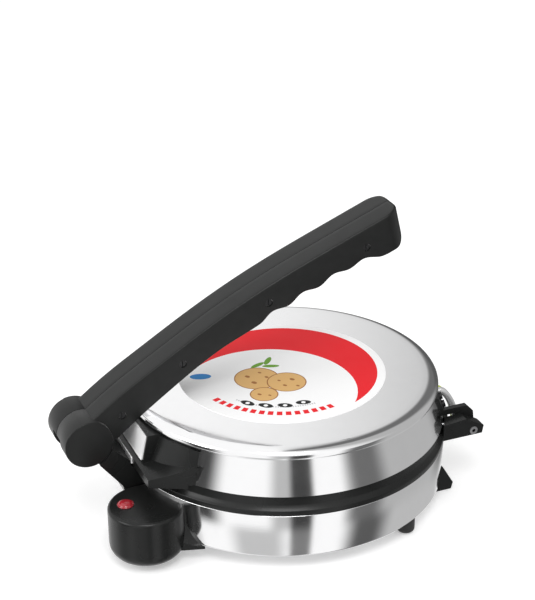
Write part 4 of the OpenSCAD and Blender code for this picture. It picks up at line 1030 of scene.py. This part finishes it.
@dataclass
class DrumContents:
    """The cooking plates, the feet and stands, and the nodes that keep their own shape."""

    def plates(self) -> None:
        """Rounds the cooking plates and gives them their coating."""
        Shop.rounded_node("lower_plate", COATED, Body.BASE, Slot.COATING, 0.6)
        Shop.rounded_node("upper_plate", COATED, Body.LID, Slot.COATING, 0.6)

    def stands(self) -> None:
        """Rounds the feet and the rear stands."""
        Shop.rounded_node("rubber_feet", RUBBER, Body.BASE, Slot.RUBBER, 0.8)
        Shop.rounded_node("rear_stands", GLOSS_BLACK, Body.BASE, Slot.PLASTIC, 0.6)

    def dress(self) -> None:
        """Gives each remaining node its finish."""
        wear = {
            PRESSED: ("bottom_cover", "lower_clamp_plate", "upper_clamp_plate", "lid_ring"),
            HEATED: ("lower_element", "upper_element"),
            MICA: ("lower_insulator", "upper_insulator"),
            PALE: ("terminal_block", "thermostat", "thermal_fuse", "indicator_lamp"),
            WIRE: ("base_leads",),
            MOULDED: ("housing_cover",),
            SATIN_STEEL: (
                "base_stud", "base_screws", "post_screws", "hinge_base_screws", "hinge_pins", "upper_stud",
                "pivot_pin", "handle_bar",
            ),
            DARK_SCREW: ("hinge_lid_screws", "bracket_screws", "handle_screws"),
        }
        for finish, nodes in wear.items():
            for node in nodes:
                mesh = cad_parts[node].data
                mesh.materials.clear()
                mesh.materials.append(finish.material())
                LOG.info("%s: dressed as %s", node, finish.name)

    def build(self) -> None:
        """Builds and dresses everything."""
        self.plates()
        self.stands()
        self.dress()


# The studio


@dataclass(frozen=True)
class Card:
    """A soft grey card round the set, which only reflections show.

    Args:
        centre: its compass angle in degrees.
        half: half of its full-strength width in degrees.
        soft: width of each soft edge in degrees.
        grey: its linear grey level.
    """

    centre: float
    half: float
    soft: float
    grey: float


@dataclass
class Studio:
    """The camera at the photograph's angle, a pale floor and soft studio light."""

    eye: Place = (963.1, -408.8, 647.6)
    forward: Place = (-0.83279, 0.3447, -0.43317)
    up: Place = (-0.3969, 0.17369, 0.90128)
    lens: float = 101.55
    wall_cards: tuple[Card, ...] = (
        Card(85, 55, 15, 0.45), Card(135, 10, 25, 0.1), Card(35, 5, 15, 0.15), Card(-20, 5, 10, 0.5),
        Card(-10, 5, 5, 0.05), Card(-80, 5, 15, 0.05),
    )
    low_cards: tuple[Card, ...] = (
        Card(80, 40, 20, 0.5), Card(40, 5, 20, 0.1), Card(-10, 5, 5, 0.2), Card(-40, 10, 15, 0.55),
        Card(-100, 10, 10, 0.5),
    )
    high_cards: tuple[Card, ...] = (Card(90, 20, 60, 0.45), Card(130, 10, 20, 0.15))
    low_band: Point = (-28.0, -32.0)
    high_band: Point = (13.0, 19.0)
    ambient: float = 0.78

    def camera(self) -> None:
        """Places the camera."""
        data = bpy.data.cameras.new("camera")
        data.lens = self.lens
        data.sensor_width = data.sensor_height = 36.0
        data.sensor_fit = "VERTICAL"
        data.clip_start, data.clip_end = 0.05, 50.0
        obj = bpy.data.objects.new("camera", data)
        forward, up = Vector(self.forward).normalized(), Vector(self.up)
        right = forward.cross(up).normalized()
        up = right.cross(forward)
        obj.matrix_world = Matrix((
            (right.x, up.x, -forward.x, self.eye[0] * MM),
            (right.y, up.y, -forward.y, self.eye[1] * MM),
            (right.z, up.z, -forward.z, self.eye[2] * MM),
            (0, 0, 0, 1),
        ))
        bpy.context.scene.collection.objects.link(obj)
        bpy.context.scene.camera = obj

    @staticmethod
    def _carded(tree: Tree, cards: Iterable[Card], compass: Socket) -> Socket:
        """White with soft grey cards on it, over the compass angle in degrees."""
        level: tuple | Socket = WHITE
        for card in cards:
            away = math_node(tree, "ABSOLUTE", math_node(tree, "SUBTRACT", compass, card.centre))
            mask = step_node(tree, away, card.half + card.soft, card.half, "SMOOTHSTEP")
            level = mix_node(tree, mask, level, (card.grey, card.grey, card.grey, 1))
        return level

    def world(self) -> None:
        """A white backdrop for the camera, even light, and soft grey cards that only reflections show."""
        world = bpy.data.worlds.new("studio")
        bpy.context.scene.world = world
        world.use_nodes = True
        tree = world.node_tree
        tree.nodes.clear()
        link = tree.links.new
        split = tree.nodes.new("ShaderNodeSeparateXYZ")
        link(tree.nodes.new("ShaderNodeTexCoord").outputs["Generated"], split.inputs[0])
        x, y, z = split.outputs
        compass = math_node(tree, "DEGREES", math_node(tree, "ARCTAN2", y, x))
        walls = self._carded(tree, self.wall_cards, compass)
        low = self._carded(tree, self.low_cards, compass)
        high = self._carded(tree, self.high_cards, compass)
        low_share = step_node(tree, z, *(math.sin(math.radians(a)) for a in self.low_band))
        high_share = step_node(tree, z, *(math.sin(math.radians(a)) for a in self.high_band))
        shine = mix_node(tree, high_share, mix_node(tree, low_share, walls, low), high)
        rays = tree.nodes.new("ShaderNodeLightPath").outputs
        mirrored = math_node(tree, "MAXIMUM", rays["Is Glossy Ray"], rays["Is Transmission Ray"])
        level = mix_node(tree, mirrored, (self.ambient, self.ambient, self.ambient, 1), shine)
        level = mix_node(tree, rays["Is Camera Ray"], level, WHITE)
        background = tree.nodes.new("ShaderNodeBackground")
        link(level, background.inputs["Color"])
        link(background.outputs[0], tree.nodes.new("ShaderNodeOutputWorld").inputs["Surface"])

    def floor(self) -> None:
        """A large pale floor that keeps the object's shadow."""
        bm = bmesh.new()
        bmesh.ops.create_grid(bm, x_segments=8, y_segments=8, size=6.0)
        mesh = bpy.data.meshes.new("floor")
        bm.to_mesh(mesh)
        bm.free()
        mat = bpy.data.materials.new("pale_floor")
        mat.use_nodes = True
        nodes, links = mat.node_tree.nodes, mat.node_tree.links
        shader = nodes["Principled BSDF"]
        shader.inputs["Base Color"].default_value = (0.86, 0.86, 0.86, 1)
        shader.inputs["Roughness"].default_value = 0.9
        shader.inputs["Specular IOR Level"].default_value = 0.1
        shader.inputs["Emission Color"].default_value = (1, 1, 1, 1)
        path = nodes.new("ShaderNodeLightPath")
        lift = nodes.new("ShaderNodeMath")
        lift.operation = "MULTIPLY"
        lift.inputs[1].default_value = 0.32
        links.new(path.outputs["Is Camera Ray"], lift.inputs[0])
        links.new(lift.outputs[0], shader.inputs["Emission Strength"])
        mesh.materials.append(mat)
        obj = bpy.data.objects.new("floor", mesh)
        obj.location.z = -0.0002
        obj.visible_glossy = False
        bpy.context.scene.collection.objects.link(obj)

    def lamp(self, name: str, at: Sequence[float], to: Sequence[float], size: float, power: float) -> None:
        """Adds one square softbox.

        Args:
            name: its name.
            at: its place in metres.
            to: the point that it faces.
            size: its side in metres.
            power: its power in watts.
        """
        data = bpy.data.lights.new(name, "AREA")
        data.size = size
        data.energy = power
        obj = bpy.data.objects.new(name, data)
        obj.location = at
        obj.rotation_euler = (Vector(to) - Vector(at)).to_track_quat("-Z", "Y").to_euler()
        bpy.context.scene.collection.objects.link(obj)

    def build(self) -> None:
        """Sets the studio up."""
        settings = bpy.context.scene.view_settings
        settings.view_transform = "Standard"
        self.camera()
        self.world()
        self.floor()
        self.lamp("top_softbox", (0.9, -0.35, 1.5), (0, 0, 0.08), 0.7, 9.0)
        self.lamp("left_softbox", (0.1, -1.6, 0.9), (0, 0, 0.08), 0.9, 9.0)


def main() -> None:
    """Builds the studio and every sub-assembly."""
    logging.basicConfig(level=logging.INFO, format="%(name)s: %(message)s")
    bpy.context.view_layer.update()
    Studio().build()
    for part in (SteelDrum(), LidLabel(), LeverHandle(), FrontFittings(), RearHinge(), DrumContents()):
        LOG.info("building %s", type(part).__name__)
        part.build()


if __name__ == "__main__":
    main()
